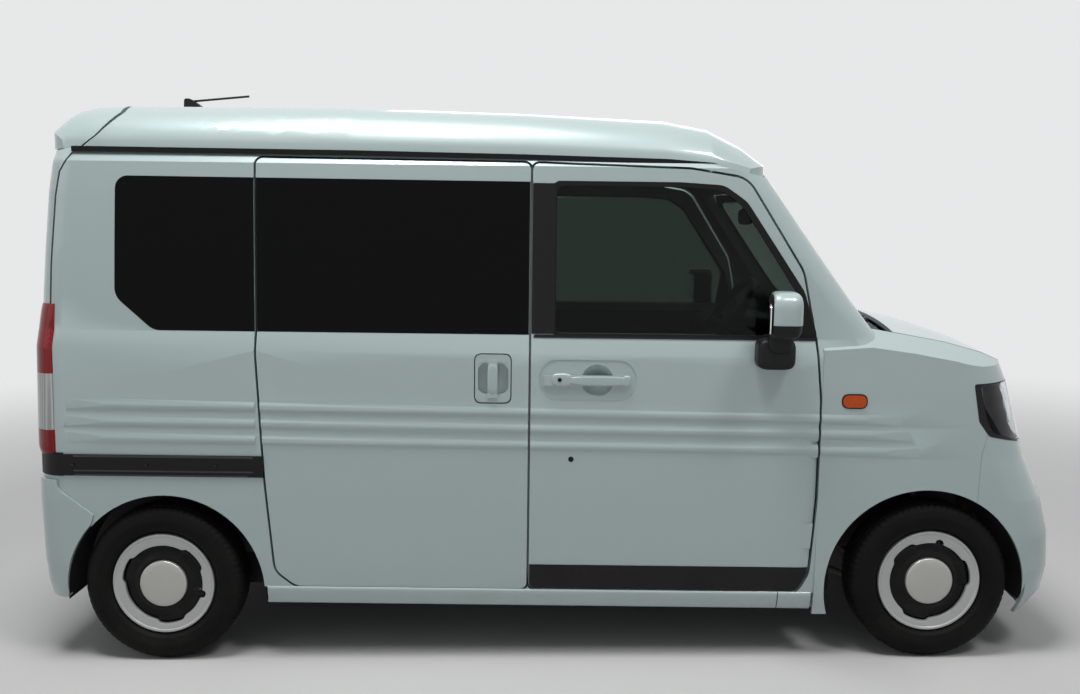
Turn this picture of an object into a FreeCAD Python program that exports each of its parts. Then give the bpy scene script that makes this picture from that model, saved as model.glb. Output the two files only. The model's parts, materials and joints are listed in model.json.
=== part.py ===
import FreeCAD, Part
import os
from math import atan2, cos, hypot, pi, radians, sin, tan

# A small box van of the kei class, built as panels, glass, running gear and cabin fittings.
# Millimetres, +X to the front, +Y to the left, +Z up, origin on the ground under mid length.
# The body is drawn level and then seated nose down by the rake, as it stands unladen.

V = FreeCAD.Vector
OUT = "parts"

# Driving dimensions of the whole vehicle
length = 3395.0
width = 1475.0
wheelbase = 2520.0
front_overhang = 457.0
rake = 0.9
track = 1310.0
front_axle_x = length / 2 - front_overhang
rear_axle_x = front_axle_x - wheelbase
wheel_y = track / 2
half = width / 2

# Beads pressed along the side, and the flat of the side inside them
bead_h = 4.5
bead_w = 34.0
side_w = half - bead_h

# Tyre and wheel, at the rolling radius that the loaded tyre stands on
tyre_r = 260.0
tyre_w = 144.0
rim_r = 168.0
rim_w = 116.0
ring_inner_r = 136.0
cap_r = 81.0
hub_r = 62.0
hub_face = 20.0

# Gaps and wall thicknesses
panel_gap = 7.5
tail_top_gap = 15.0
seat_gap = 0.3
trim_gap = 0.8
wall = 52.0
skin = 14.0
roof_skin = 26.0
bulkhead_inset = 20.0
screen_deep = 2.0
glass_t = 5.0

# Heights of the body's lines, drawn level
sill_z = 177.0
door_z = 237.0
crease_z = 327.0
floor_z = 372.0
floor_t = 30.0
rail_low_z = 605.0
rail_top_z = 677.0
shoulder_z = 1028.0
belt_z = 1078.0
glass_top_z = 1564.0
cant_z = 1613.0
gutter_z = 1650.0
crown_z = 1831.0
bumper_top_z = 597.0
lamp_low_z = 664.0
lamp_top_z = 1158.0
grille_top_z = 940.0
grille_low_z = 800.0

# Places of the body's vertical lines
nose_x = 1677.3
screen_bow = 60.0
nose_bow = 24.0
tail_bow = 8.0
quarter_x = -963.0
pillar_x = -85.0
door_front_x = 851.0
firewall_x = 905.0
bonnet_back_x = 1105.0
roof_front = 684.0
roof_bow = 54.0
bonnet_bow = 36.0
cowl_gap = 18.0
bonnet_half = 622.0
tail_r = 100.0
pillar_r = 105.0
nose_r = 180.0

# Wheel arches, drawn level: place, height and radius of the lip, radius of the liner
front_arch = {"x": 1214.0, "z": 262.0, "lip": 327.0, "liner": 331.0}
rear_arch = {"x": -1268.0, "z": 222.0, "lip": 320.0, "liner": 324.0}
front_house_y = 420.0
rear_house_y = 556.0

# Windscreen aperture, tail lamp and handle dishes
screen_low_z = 1092.0
screen_top_z = 1562.0
fender_top_z = 1024.0
tail_half = 562.0
lamp_deep = 44.0
lamp_front_x = -1612.0
dish_deep = 26.0
plate_deep = 4.0
bowl_r = 56.0

# Nose: seam of the bumper and fender, lamp, grille and intake
seam_x = 1376.0
lamp_in_y = 372.0
lamp_body = 70.0
grille_deep = 30.0
intake = {"low": 250.0, "high": 520.0, "half": 470.0}

fog_y = 560.0
fog_z = 330.0
fog_r = 42.0
rail_z = 860.0

# Steering axis, from the lower ball joint to the top of the strut
kingpin_low = (610.0, 150.0)
kingpin_top = (480.0, 760.0)

# Hinges: pin behind the leading edge, pin under the outer skin, barrel and its length
hinge_back = 42.0
hinge_deep = 13.0
barrel_r = 6.0
barrel_l = 20.0
door_hinge_z = (400.0, 880.0)
tail_hinge_y = (-250.0, 190.0)
bonnet_hinge_y = 330.0
bonnet_pin = (1200.0, 1078.0)
tail_pin = (-1488.0, 1790.0)

made = {}


def turned(x, z):
    """Ground place of a point drawn in the level body."""
    a = radians(rake)
    return x * cos(a) + z * sin(a), -x * sin(a) + z * cos(a)


def seat(shape):
    """Seats a level body shape nose down."""
    s = shape.copy()
    s.rotate(V(0, 0, 0), V(0, 1, 0), rake)
    return s


PLANES = {
    "xy": lambda p, q, d: V(p, q, d),
    "xz": lambda p, q, d: V(p, d, q),
    "yz": lambda p, q, d: V(d, p, q),
}
NORMALS = {"xy": V(0, 0, 1), "xz": V(0, 1, 0), "yz": V(1, 0, 0)}


def outline(points, plane, depth):
    """Closed wire through (p, q, corner radius) points on a plane, corners as arcs."""
    at = PLANES[plane]
    n = len(points)
    ends = []
    for i, (p, q, r) in enumerate(points):
        a = points[i - 1]
        b = points[(i + 1) % n]
        if r <= 0:
            ends.append([(p, q)])
            continue
        ua = (a[0] - p, a[1] - q)
        ub = (b[0] - p, b[1] - q)
        la, lb = hypot(*ua), hypot(*ub)
        ua = (ua[0] / la, ua[1] / la)
        ub = (ub[0] / lb, ub[1] / lb)
        half_angle = abs(atan2(ua[0] * ub[1] - ua[1] * ub[0], ua[0] * ub[0] + ua[1] * ub[1])) / 2
        run = min(r / tan(half_angle), 0.49 * la, 0.49 * lb)
        radius = run * tan(half_angle)
        mid = (ua[0] + ub[0], ua[1] + ub[1])
        lm = hypot(*mid)
        out = radius / sin(half_angle) - radius
        ends.append([
            (p + ua[0] * run, q + ua[1] * run),
            (p + mid[0] / lm * out, q + mid[1] / lm * out),
            (p + ub[0] * run, q + ub[1] * run),
        ])
    edges = []
    for i, e in enumerate(ends):
        if len(e) == 3:
            edges.append(Part.Arc(at(*e[0], depth), at(*e[1], depth), at(*e[2], depth)).toShape())
        start = e[-1]
        stop = ends[(i + 1) % n][0]
        if hypot(start[0] - stop[0], start[1] - stop[1]) > 1e-6:
            edges.append(Part.makeLine(at(*start, depth), at(*stop, depth)))
    return Part.Wire(edges)


def prism(points, plane, low, high, grow=0.0):
    """Solid between two depths of a plane, its outline grown or shrunk."""
    face = Part.Face(outline(points, plane, low))
    if grow:
        face = Part.Face(face.makeOffset2D(grow).Wires[0])
    return face.extrude(NORMALS[plane] * (high - low))


def sharp(points):
    """Outline points with no rounding."""
    return [(p, q, 0) for p, q in points]


def box(x0, x1, y0, y1, z0, z1):
    return Part.makeBox(x1 - x0, y1 - y0, z1 - z0, V(x0, y0, z0))


def rod(a, b, r):
    """Cylinder between two points."""
    a, b = V(*a), V(*b)
    return Part.makeCylinder(r, (b - a).Length, a, b - a)


def mirror(shape):
    """The same piece on the left side."""
    return shape.mirror(V(0, 0, 0), V(0, 1, 0))


def both(shape):
    return [shape, mirror(shape)]


def solids(shape, least=200.0):
    """Clean solids of a boolean result, slivers left out."""
    found = [s for s in shape.Solids if s.Volume > least]
    if not found:
        raise ValueError("a boolean left no solid")
    return found


def biggest(shape):
    return max(solids(shape), key=lambda s: s.Volume)


def joined(first, *others):
    """One solid from touching ones."""
    whole = first.fuse(list(others))
    return whole.removeSplitter()


def save(name, shapes, level=True):
    """Writes one node's solids, seated if drawn in the level body."""
    if not isinstance(shapes, (list, tuple)):
        shapes = [shapes]
    parts = [s for shape in shapes for s in solids(shape)]
    if level:
        parts = [seat(s) for s in parts]
    whole = parts[0] if len(parts) == 1 else Part.makeCompound(parts)
    whole.exportStep(os.path.join(OUT, name + ".step"))
    made[name] = whole
    return whole


# Body sections

# Plan sections of the cabin: height, half width, flat of the tail, front face
CABIN = [
    (sill_z, 704.0, -1672.0, firewall_x),
    (door_z, 722.0, -1679.0, firewall_x),
    (crease_z, 729.0, -1685.0, firewall_x),
    (520.0, side_w, -1689.0, firewall_x),
    (760.0, side_w, -1688.0, firewall_x),
    (shoulder_z - 8, side_w - 2, -1683.0, 1102.0),
    (belt_z - 2, 714.0, -1681.0, 1056.0),
    (1200.0, 710.0, -1675.0, 958.0),
    (1350.0, 705.0, -1664.0, 848.0),
    (1521.0, 697.0, -1650.0, 727.0),
    (cant_z, 690.0, -1637.0, 662.0),
    (gutter_z + 10.0, 660.0, -1632.0, 630.0),
]

# Plan sections of the nose: height, half width, front flat
NOSE = [
    (163.0, 716.0, 1612.0),
    (237.0, 728.0, 1664.0),
    (315.0, side_w, nose_x),
    (430.0, side_w, 1671.0),
    (556.0, side_w, 1638.0),
    (689.0, side_w, 1575.0),
    (793.0, side_w, 1545.0),
    (939.0, side_w, 1500.0),
    (1016.0, side_w, 1466.0),
    (1180.0, side_w, 1400.0),
]

# Cross sections of the nose: place, crown, height and half width of the edge, height of the shoulder
BONNET = [
    (700.0, 1180.0, 1150.0, 600.0, shoulder_z),
    (860.0, 1172.0, 1136.0, 600.0, shoulder_z + 12),
    (1010.0, 1150.0, 1112.0, 616.0, 1052.0),
    (1146.0, 1124.0, 1086.0, 622.0, 1034.0),
    (1281.0, 1098.0, 1062.0, 622.0, 1010.0),
    (1400.0, 1062.0, 1030.0, 622.0, 978.0),
    (1480.0, 1022.0, 996.0, 622.0, 950.0),
    (1720.0, 880.0, 860.0, 622.0, 830.0),
]

# Roof cross sections: place, crown, gutter height, half width at the gutter
ROOF = [
    (-1680.0, 1676.0, 1652.0, 655.0),
    (-1650.0, 1714.0, 1652.0, 655.0),
    (-1627.0, 1753.0, 1652.0, 655.0),
    (-1600.0, 1786.0, 1652.0, 655.0),
    (-1572.0, 1807.0, 1652.0, 655.0),
    (-1520.0, 1822.0, 1652.0, 656.0),
    (-1440.0, 1828.0, 1652.0, 657.0),
    (-660.0, crown_z, 1649.0, 658.0),
    (-115.0, 1818.0, 1643.0, 658.0),
    (343.0, 1797.0, 1634.0, 656.0),
    (490.0, 1768.0, 1624.0, 652.0),
    (600.0, 1709.0, 1600.0, 640.0),
    (680.0, 1643.0, 1586.0, 626.0),
    (738.0, 1594.0, 1576.0, 590.0),
]


def plan_wire(z, w, tail, front, tail_round, front_round, front_bulge, tail_bulge):
    """Plan outline: bowed front and tail, round corners, straight sides."""
    def arc(a, b, c):
        return Part.Arc(V(a[0], a[1], z), V(b[0], b[1], z), V(c[0], c[1], z)).toShape()
    k = 1 - cos(pi / 4)
    f, t = front_round, tail_round
    return Part.Wire([
        arc((front, -(w - f)), (front + front_bulge, 0), (front, w - f)),
        arc((front, w - f), (front - f * k, w - f * k), (front - f, w)),
        Part.makeLine(V(front - f, w, z), V(tail + t, w, z)),
        arc((tail + t, w), (tail + t * k, w - t * k), (tail, w - t)),
        arc((tail, w - t), (tail - tail_bulge, 0), (tail, -(w - t))),
        arc((tail, -(w - t)), (tail + t * k, -(w - t * k)), (tail + t, -w)),
        Part.makeLine(V(tail + t, -w, z), V(front - f, -w, z)),
        arc((front - f, -w), (front - f * k, -(w - f * k)), (front, -(w - f))),
    ])


kept = {}


def cabin(inset):
    """The cabin's outer form, or with an inset its hollow."""
    if ("cabin", inset) in kept:
        return kept["cabin", inset]
    rows = []
    for z, w, tail, front in CABIN:
        bow = screen_bow if z >= shoulder_z else 1.0
        rows.append(plan_wire(z, w - inset, tail + inset, front - inset, tail_r - inset / 2,
                              pillar_r - inset / 2, bow, tail_bow))
    kept["cabin", inset] = Part.makeLoft(rows, True, True)
    return kept["cabin", inset]


def nose(inset):
    """The nose's outer form, or with an inset the bay inside it."""
    if ("nose", inset) in kept:
        return kept["nose", inset]
    plan = [plan_wire(z, w - inset, 500.0, front - inset, 40.0, nose_r - inset / 2, nose_bow, 1.0)
            for z, w, front in NOSE]
    body = Part.makeLoft(plan, True, True)
    rows = []
    for x, crown, edge, flat, shoulder in BONNET:
        w = side_w + 1 - inset
        e = flat - inset * 0.5
        rows.append(Part.Wire([
            Part.makeLine(V(x, -w, 100), V(x, -w, shoulder - inset)),
            Part.makeLine(V(x, -w, shoulder - inset), V(x, -e, edge - inset)),
            Part.Arc(V(x, -e, edge - inset), V(x, 0, crown - inset), V(x, e, edge - inset)).toShape(),
            Part.makeLine(V(x, e, edge - inset), V(x, w, shoulder - inset)),
            Part.makeLine(V(x, w, shoulder - inset), V(x, w, 100)),
            Part.makeLine(V(x, w, 100), V(x, -w, 100)),
        ]))
    kept["nose", inset] = body.common(Part.makeLoft(rows, True, True))
    return kept["nose", inset]


def roof(inset):
    """The roof's outer form over the gutter, or with an inset its hollow."""
    rows = []
    for x, crown, low, w in ROOF:
        c, w = crown - inset, w - inset
        rise = c - low
        if rise < 20:
            continue
        strip = min(28.0, rise * 0.2)
        rows.append(Part.Wire([
            Part.makeLine(V(x, -w, low), V(x, -w + 4, low + strip)),
            Part.Arc(V(x, -w + 4, low + strip), V(x, -w + 60, low + rise * 0.62),
                     V(x, -w + 170, low + rise * 0.86)).toShape(),
            Part.Arc(V(x, -w + 170, low + rise * 0.86), V(x, 0, c),
                     V(x, w - 170, low + rise * 0.86)).toShape(),
            Part.Arc(V(x, w - 170, low + rise * 0.86), V(x, w - 60, low + rise * 0.62),
                     V(x, w - 4, low + strip)).toShape(),
            Part.makeLine(V(x, w - 4, low + strip), V(x, w, low)),
            Part.makeLine(V(x, w, low), V(x, -w, low)),
        ]))
    top = Part.makeLoft(rows, True, True)
    i = inset
    profile = [(-1655 + i, 1500, 0), (-1640 + i, 1660, 40), (-1622 + i, 1812 - i, 110), (-1400, 1900, 0),
               (900 - i, 1900, 0), (752 - i, 1500, 0)]
    plan = plan_wire(1500, 664 - i, -1642 + i, roof_front - i, 105 - i / 2, 160 - i / 2, roof_bow, tail_bow)
    plan = Part.Face(plan).extrude(V(0, 0, 400))
    return top.common(prism(profile, "xz", -800, 800)).common(plan)


# Lines on the side, level: the gutter and the gaps between the panels
GUTTER = [(x, low) for x, crown, low, w in ROOF]

# Front door's gap, from the lower rear corner forward, up the pillar and back
FRONT_DOOR = [
    (pillar_x, door_z, 24),
    (800.0, door_z, 40),
    (door_front_x - 17, 300.0, 60),
    (door_front_x, 560.0, 200),
    (door_front_x, 880.0, 200),
    (832.0, 1068.0, 40),
    (786.0, 1290.0, 120),
    (600.0, 1584.0, 90),
    (420.0, 1612.0, 120),
    (pillar_x, 1626.0, 24),
]
SLIDE_DOOR = [
    (quarter_x + 118, door_z, 60),
    (pillar_x, door_z, 24),
    (pillar_x, 1626.0, 24),
    (quarter_x, 1632.0, 24),
    (quarter_x, 1000.0, 600),
    (quarter_x + 22, 600.0, 600),
    (quarter_x + 50, 290.0, 60),
]
# Tailgate's gap over the lamps, from the roof round the corner down to the lamp
TAIL_LINE = [(-1426.0, 1900.0), (-1426.0, 1775.0), (-1486.0, 1695.0), (-1546.0, 1644.0),
             (-1589.0, 1578.0), (-1603.0, 1500.0), (-1622.0, 1285.0), (-1627.0, lamp_top_z)]
FRONT_WINDOW = [
    (-6.0, 1082.0, 20),
    (820.0, 1082.0, 25),
    (776.0, 1220.0, 60),
    (590.0, 1500.0, 80),
    (520.0, 1548.0, 70),
    (380.0, 1556.0, 100),
    (-6.0, 1556.0, 24),
]
# Black glass band of the rear side windows, and the holes behind it
GLASS_BAND = [
    (-1292.0, belt_z, 60),
    (-60.0, belt_z, 0),
    (-60.0, glass_top_z, 0),
    (-1405.0, glass_top_z + 4, 40),
    (-1414.0, 1186.0, 60),
]
SCREEN = [(-622.0, screen_low_z, 40), (622.0, screen_low_z, 40), (575.0, screen_top_z, 40), (-575.0, screen_top_z, 40)]
SCREEN_HALF = [(-622.0, screen_low_z), (0.0, screen_low_z), (0.0, 1800.0), (-548.0, 1800.0), (-575.0, screen_top_z)]
HEADER = [(-575.0, screen_top_z), (575.0, screen_top_z), (548.0, 1800.0), (-548.0, 1800.0)]
TAIL_WINDOW = [(-540.0, 1150.0, 60), (540.0, 1150.0, 60), (500.0, 1560.0, 60), (-500.0, 1560.0, 60)]
HANDLE_DISH = [(-55.0, 868.0, 60), (257.0, 868.0, 60), (257.0, 1001.0, 60), (-55.0, 1001.0, 60)]
SLIDE_DISH = [(-252.0, 886.0, 30), (-153.0, 886.0, 30), (-153.0, 988.0, 30), (-252.0, 988.0, 30)]
HEADLAMP = [(1361.0, 935.0, 6), (1520.0, 940.0, 0), (1640.0, 940.0, 0), (1640.0, 747.0, 0), (1515.0, 747.0, 0),
            (1412.0, 778.0, 20), (1387.0, 819.0, 20), (1367.0, 921.0, 0)]
SLIDE_HOLE = [(-900.0, 1104.0, 40), (-160.0, 1104.0, 40), (-160.0, 1536.0, 40), (-900.0, 1536.0, 40)]
QUARTER_HOLE = [(-1280.0, 1104.0, 50), (-1036.0, 1104.0, 40), (-1036.0, 1536.0, 40), (-1372.0, 1540.0, 40),
                (-1378.0, 1196.0, 60)]


# Ends of the three beads: place and height at the rear and at the front
BEADS = [
    {"rear": (-1578.0, 841.0), "front": (1119.0, 816.0)},
    {"rear": (-1582.0, 785.0), "front": (1149.0, 766.0)},
    {"rear": (-1580.0, 732.0), "front": (1179.0, 711.0)},
]
# Seam of the rear bumper on the side
TAIL_SEAM = [(-1800, 189, 0), (-1596, 189, 30), (-1566, 230, 0), (-1496, 476, 0), (-1606, 560, 30), (-1612, 590, 0),
             (-1800, 590, 0)]


def beads(points, grow):
    """The right side's beads over one panel: long ridges with a flat top and pointed ends."""
    zone = prism(points, "xz", -900, -500, grow)
    flat, root, point = 6.0, 2.0, 130.0
    more = 1 + root / bead_h
    found = []
    for bead in BEADS:
        (x0, z0), (x1, z1) = bead["rear"], bead["front"]
        slope = (z1 - z0) / (x1 - x0)
        rows = []
        for y, over, wide in ((-half, -point, flat), (-(side_w - root), point * (more - 1),
                                                     flat + (bead_w / 2 - flat) * more)):
            a, b = x0 - over, x1 + over
            za, zb = z0 + slope * (a - x0), z0 + slope * (b - x0)
            rows.append(Part.makePolygon([V(a, y, za - wide), V(b, y, zb - wide), V(b, y, zb + wide),
                                          V(a, y, za + wide), V(a, y, za - wide)]))
        ridge = Part.makeLoft(rows, True, True).common(box(x0 + 6, x1 - 6, -900, -500, 600, 1000))
        ridge = ridge.common(zone)
        found += [s for s in ridge.Solids if s.Volume > 500]
    return found


def arch_round(arch, radius, y0, y1):
    """Cylinder of a wheel arch between two distances from the middle."""
    return Part.makeCylinder(radius, y1 - y0, V(arch["x"], y0, arch["z"]), V(0, 1, 0))


class Body:
    """Forms that the panels are cut from, built once."""

    def __init__(self):
        over = [(-1900, 100), (1400, 100), (1400, 1300), (1000, 1300), (GUTTER[-1][0] + 30, GUTTER[-1][1] - 4)]
        self.under_gutter = prism(sharp(over + GUTTER[::-1] + [(-1900, GUTTER[0][1])]), "xz", -800, 800)
        self.roof = roof(0)
        self.roof_shell = self.roof.cut(roof(roof_skin))


def cover(low, high, zone):
    """Part of a zone that lies between two depths under the cabin's surface."""
    return zone.common(cabin(low)).cut(cabin(high))


def crust(low, high, zone):
    """Part of a zone that lies between two depths under the nose's surface."""
    return zone.common(nose(low)).cut(nose(high))


def tail_zone(gap):
    """Space that the tailgate fills, or with a gap the opening it closes."""
    top = tail_top_gap if gap else 0.0
    line = [(x + (top if i < 2 else gap), z) for i, (x, z) in enumerate(TAIL_LINE)]
    foot = (line[-1][0], lamp_top_z - gap)
    zone = [(-2000, foot[1]), foot] + line[::-1][1:] + [(-2000, 1900)]
    upper = prism(sharp(zone), "xz", -800, 800)
    lower = box(-1800, -1560, -tail_half - gap, tail_half + gap, bumper_top_z - gap, lamp_top_z + 5)
    return upper.fuse(lower)


def hinge(thick, reach, drop):
    """Goose-neck hinge about local Z: fixed half, moving half, and the pocket for both."""
    top = 3 * barrel_l
    mid = barrel_l + seat_gap
    neck = -(thick - hinge_deep) - 6.0
    z0, z1 = mid, top - mid
    fixed = joined(
        Part.makeCylinder(barrel_r, z1 - z0, V(0, 0, z0)),
        box(-barrel_r, barrel_r, neck - 10, 0, z0, z1),
        box(-hinge_back - reach, barrel_r, neck - 10, neck, z0, z1),
        box(-hinge_back - reach, -hinge_back - reach + 18, neck - 10, drop, z0, z1),
    )
    halves = []
    for low in (0.0, 2 * barrel_l):
        halves.append(joined(Part.makeCylinder(barrel_r, barrel_l, V(0, 0, low)),
                             box(0, 18, -barrel_r, barrel_r, low, low + barrel_l)))
    pocket = box(-hinge_back - 30, 16, neck - 40, barrel_r + 3, -4, top + 4)
    return fixed, halves, pocket


def placed(shape, u, w, at):
    """Puts a hinge's local u, w and pin along given directions."""
    u, w = V(*u), V(*w)
    a = u.cross(w)
    m = FreeCAD.Matrix(u.x, w.x, a.x, at[0], u.y, w.y, a.y, at[1], u.z, w.z, a.z, at[2], 0, 0, 0, 1)
    s = shape.copy()
    s.transformShape(m, False)
    return s


def door_hinges():
    fixed, halves, pockets = [], [], []
    pin_x = door_front_x - panel_gap / 2 - hinge_back
    for z in door_hinge_z:
        f, h, p = hinge(wall, 34.0, -wall + hinge_deep + 8)
        at = (pin_x, -(side_w - hinge_deep), z)
        fixed.append(placed(f, (-1, 0, 0), (0, -1, 0), at))
        halves += [placed(s, (-1, 0, 0), (0, -1, 0), at) for s in h]
        pockets.append(placed(p, (-1, 0, 0), (0, -1, 0), at))
    return fixed, halves, pockets


def side_frame(b):
    """Right side of the shell: quarter, sill, pillars and cant rail."""
    whole = cover(0, wall, b.under_gutter.common(box(-2000, 2000, -900, -300, 0, 2000)))
    for points in (FRONT_DOOR, SLIDE_DOOR):
        whole = whole.cut(prism(points, "xz", -900, -500, panel_gap / 2))
    whole = whole.cut(tail_zone(panel_gap))
    whole = whole.cut(box(300, 1300, -640, 0, 0, screen_low_z - seat_gap))
    whole = whole.cut(prism(sharp(SCREEN_HALF), "yz", 300, 1300, seat_gap))
    whole = whole.cut(box(-1800, -1400, -640, 0, 0, 2000))
    whole = whole.cut(crust(0, skin + seat_gap, box(door_front_x + 3.5, 1400, -800, 0, 0, fender_top_z)))
    whole = whole.cut(arch_round(rear_arch, rear_arch["lip"], -800, -500))
    whole = whole.cut(arch_round(rear_arch, rear_arch["liner"] + 4 + seat_gap, -722, -500))
    whole = whole.cut(cover(-20, 11 + seat_gap, prism(TAIL_SEAM, "xz", -900, -300, seat_gap)))
    whole = whole.cut(box(-1800, rear_arch["x"], -800, 0, 0, 250))
    whole = whole.cut(arch_round(front_arch, front_arch["liner"] + 5, -800, 0))
    whole = whole.cut(cover(-5, glass_t + 1 + seat_gap, prism(GLASS_BAND, "xz", -900, -400)))
    whole = whole.cut(prism(QUARTER_HOLE, "xz", -900, -400))
    whole = whole.cut(cover(-5, lamp_deep + seat_gap, box(-1800, lamp_front_x + seat_gap, -800, -500, lamp_low_z - seat_gap, lamp_top_z + 1)))
    post = cover(wall + 6, wall + 40, box(pillar_x - 40, pillar_x + 40, -900, -300, door_z - 30, 1640))
    feet = cover(wall - 8, wall + 40, box(pillar_x - 40, pillar_x + 40, -900, -300, door_z - 40, door_z - 12).fuse(
            box(pillar_x - 40, pillar_x + 40, -900, -300, 1634, 1641)))
    fixed, halves, pockets = door_hinges()
    quarter = [(-1800, 650, 0), (quarter_x, 650, 0), (quarter_x, 900, 0), (-1800, 900, 0)]
    lines = beads(quarter, -panel_gap / 2)
    return biggest(joined(biggest(whole), post, feet, *fixed, *lines))


def front_door(b):
    """Right front door, as thick as the wall, with its window cut."""
    door = cover(0, wall, prism(FRONT_DOOR, "xz", -900, -500, -panel_gap / 2))
    ahead = cabin(wall).copy()
    ahead.translate(V(60, 0, 0))
    door = door.cut(ahead)
    door = door.cut(prism(FRONT_WINDOW, "xz", -900, -500))
    door = door.cut(prism(HANDLE_DISH, "xz", -900, -(side_w - plate_deep)))
    ball = (bowl_r ** 2 + dish_deep ** 2) / (2 * dish_deep)
    door = door.cut(Part.makeSphere(ball, V(132, -(side_w - dish_deep + ball), 935)))
    fixed, halves, pockets = door_hinges()
    for p in pockets:
        door = door.cut(p)
    grip = box(-30, 226, -(half + 3), -(half - 7), 918, 952)
    grip = grip.fuse([box(-40, -28, -(half + 3), -(half - 40), 920, 950),
                      box(222, 234, -(half + 3), -(half - 40), 920, 950)])
    return biggest(joined(biggest(door), grip, *halves, *beads(FRONT_DOOR, -panel_gap / 2)))


def slide_door(b):
    """Right sliding door with its window and handle dish."""
    door = cover(0, wall, prism(SLIDE_DOOR, "xz", -900, -500, -panel_gap / 2))
    door = door.cut(cover(-5, glass_t + 1 + seat_gap, prism(GLASS_BAND, "xz", -900, -400)))
    door = door.cut(prism(SLIDE_HOLE, "xz", -900, -400))
    door = door.cut(prism(SLIDE_DISH, "xz", -900, -(side_w - dish_deep)))
    grip = box(-219, -188, -(half + 2), -(half - 8), 876, 998)
    grip = grip.fuse([box(-219, -188, -(half + 2), -(half - 40), 876, 884),
                      box(-219, -188, -(half + 2), -(half - 40), 991, 998)])
    return biggest(joined(biggest(door), grip, *beads(SLIDE_DOOR, -panel_gap / 2)))


def window_in(b, points, deep, low_x=-2000, high_x=2000):
    pane = cover(deep, deep + glass_t, prism(points, "xz", -900, -400, -seat_gap))
    return biggest(pane.common(box(low_x, high_x, -900, 0, 0, 2000)))


def tail_pieces(b):
    """Tailgate shell, with its window hole and hinge halves, and the fixed halves."""
    zone = tail_zone(0.0)
    gate = cover(0, wall, b.under_gutter.common(zone)).fuse(b.roof_shell.common(zone))
    gate = gate.cut(prism(TAIL_WINDOW, "yz", -1800, -1500))
    fixed, halves = [], []
    for y in tail_hinge_y:
        f, h, p = hinge(roof_skin + 20, 34.0, -2)
        at = (tail_pin[0], y, tail_pin[1])
        fixed.append(placed(f, (-1, 0, 0), (0, 0, 1), at))
        gate = gate.cut(placed(p, (-1, 0, 0), (0, 0, 1), at))
        halves += [placed(s, (-1, 0, 0), (0, 0, 1), at) for s in h]
    return biggest(joined(biggest(gate), *halves)), fixed


def plan_zone(x, half_y, way):
    """Space ahead of (1) or behind (-1) a bowed edge across the nose."""
    far = 1800 if way > 0 else 300
    arc = Part.Arc(V(x, -half_y, 900), V(x + bonnet_bow, 0, 900), V(x, half_y, 900)).toShape()
    lines = [Part.makeLine(V(x, half_y, 900), V(far, half_y, 900)),
             Part.makeLine(V(far, half_y, 900), V(far, -half_y, 900)),
             Part.makeLine(V(far, -half_y, 900), V(x, -half_y, 900))]
    return Part.Face(Part.Wire([arc] + lines)).extrude(V(0, 0, 500))


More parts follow.
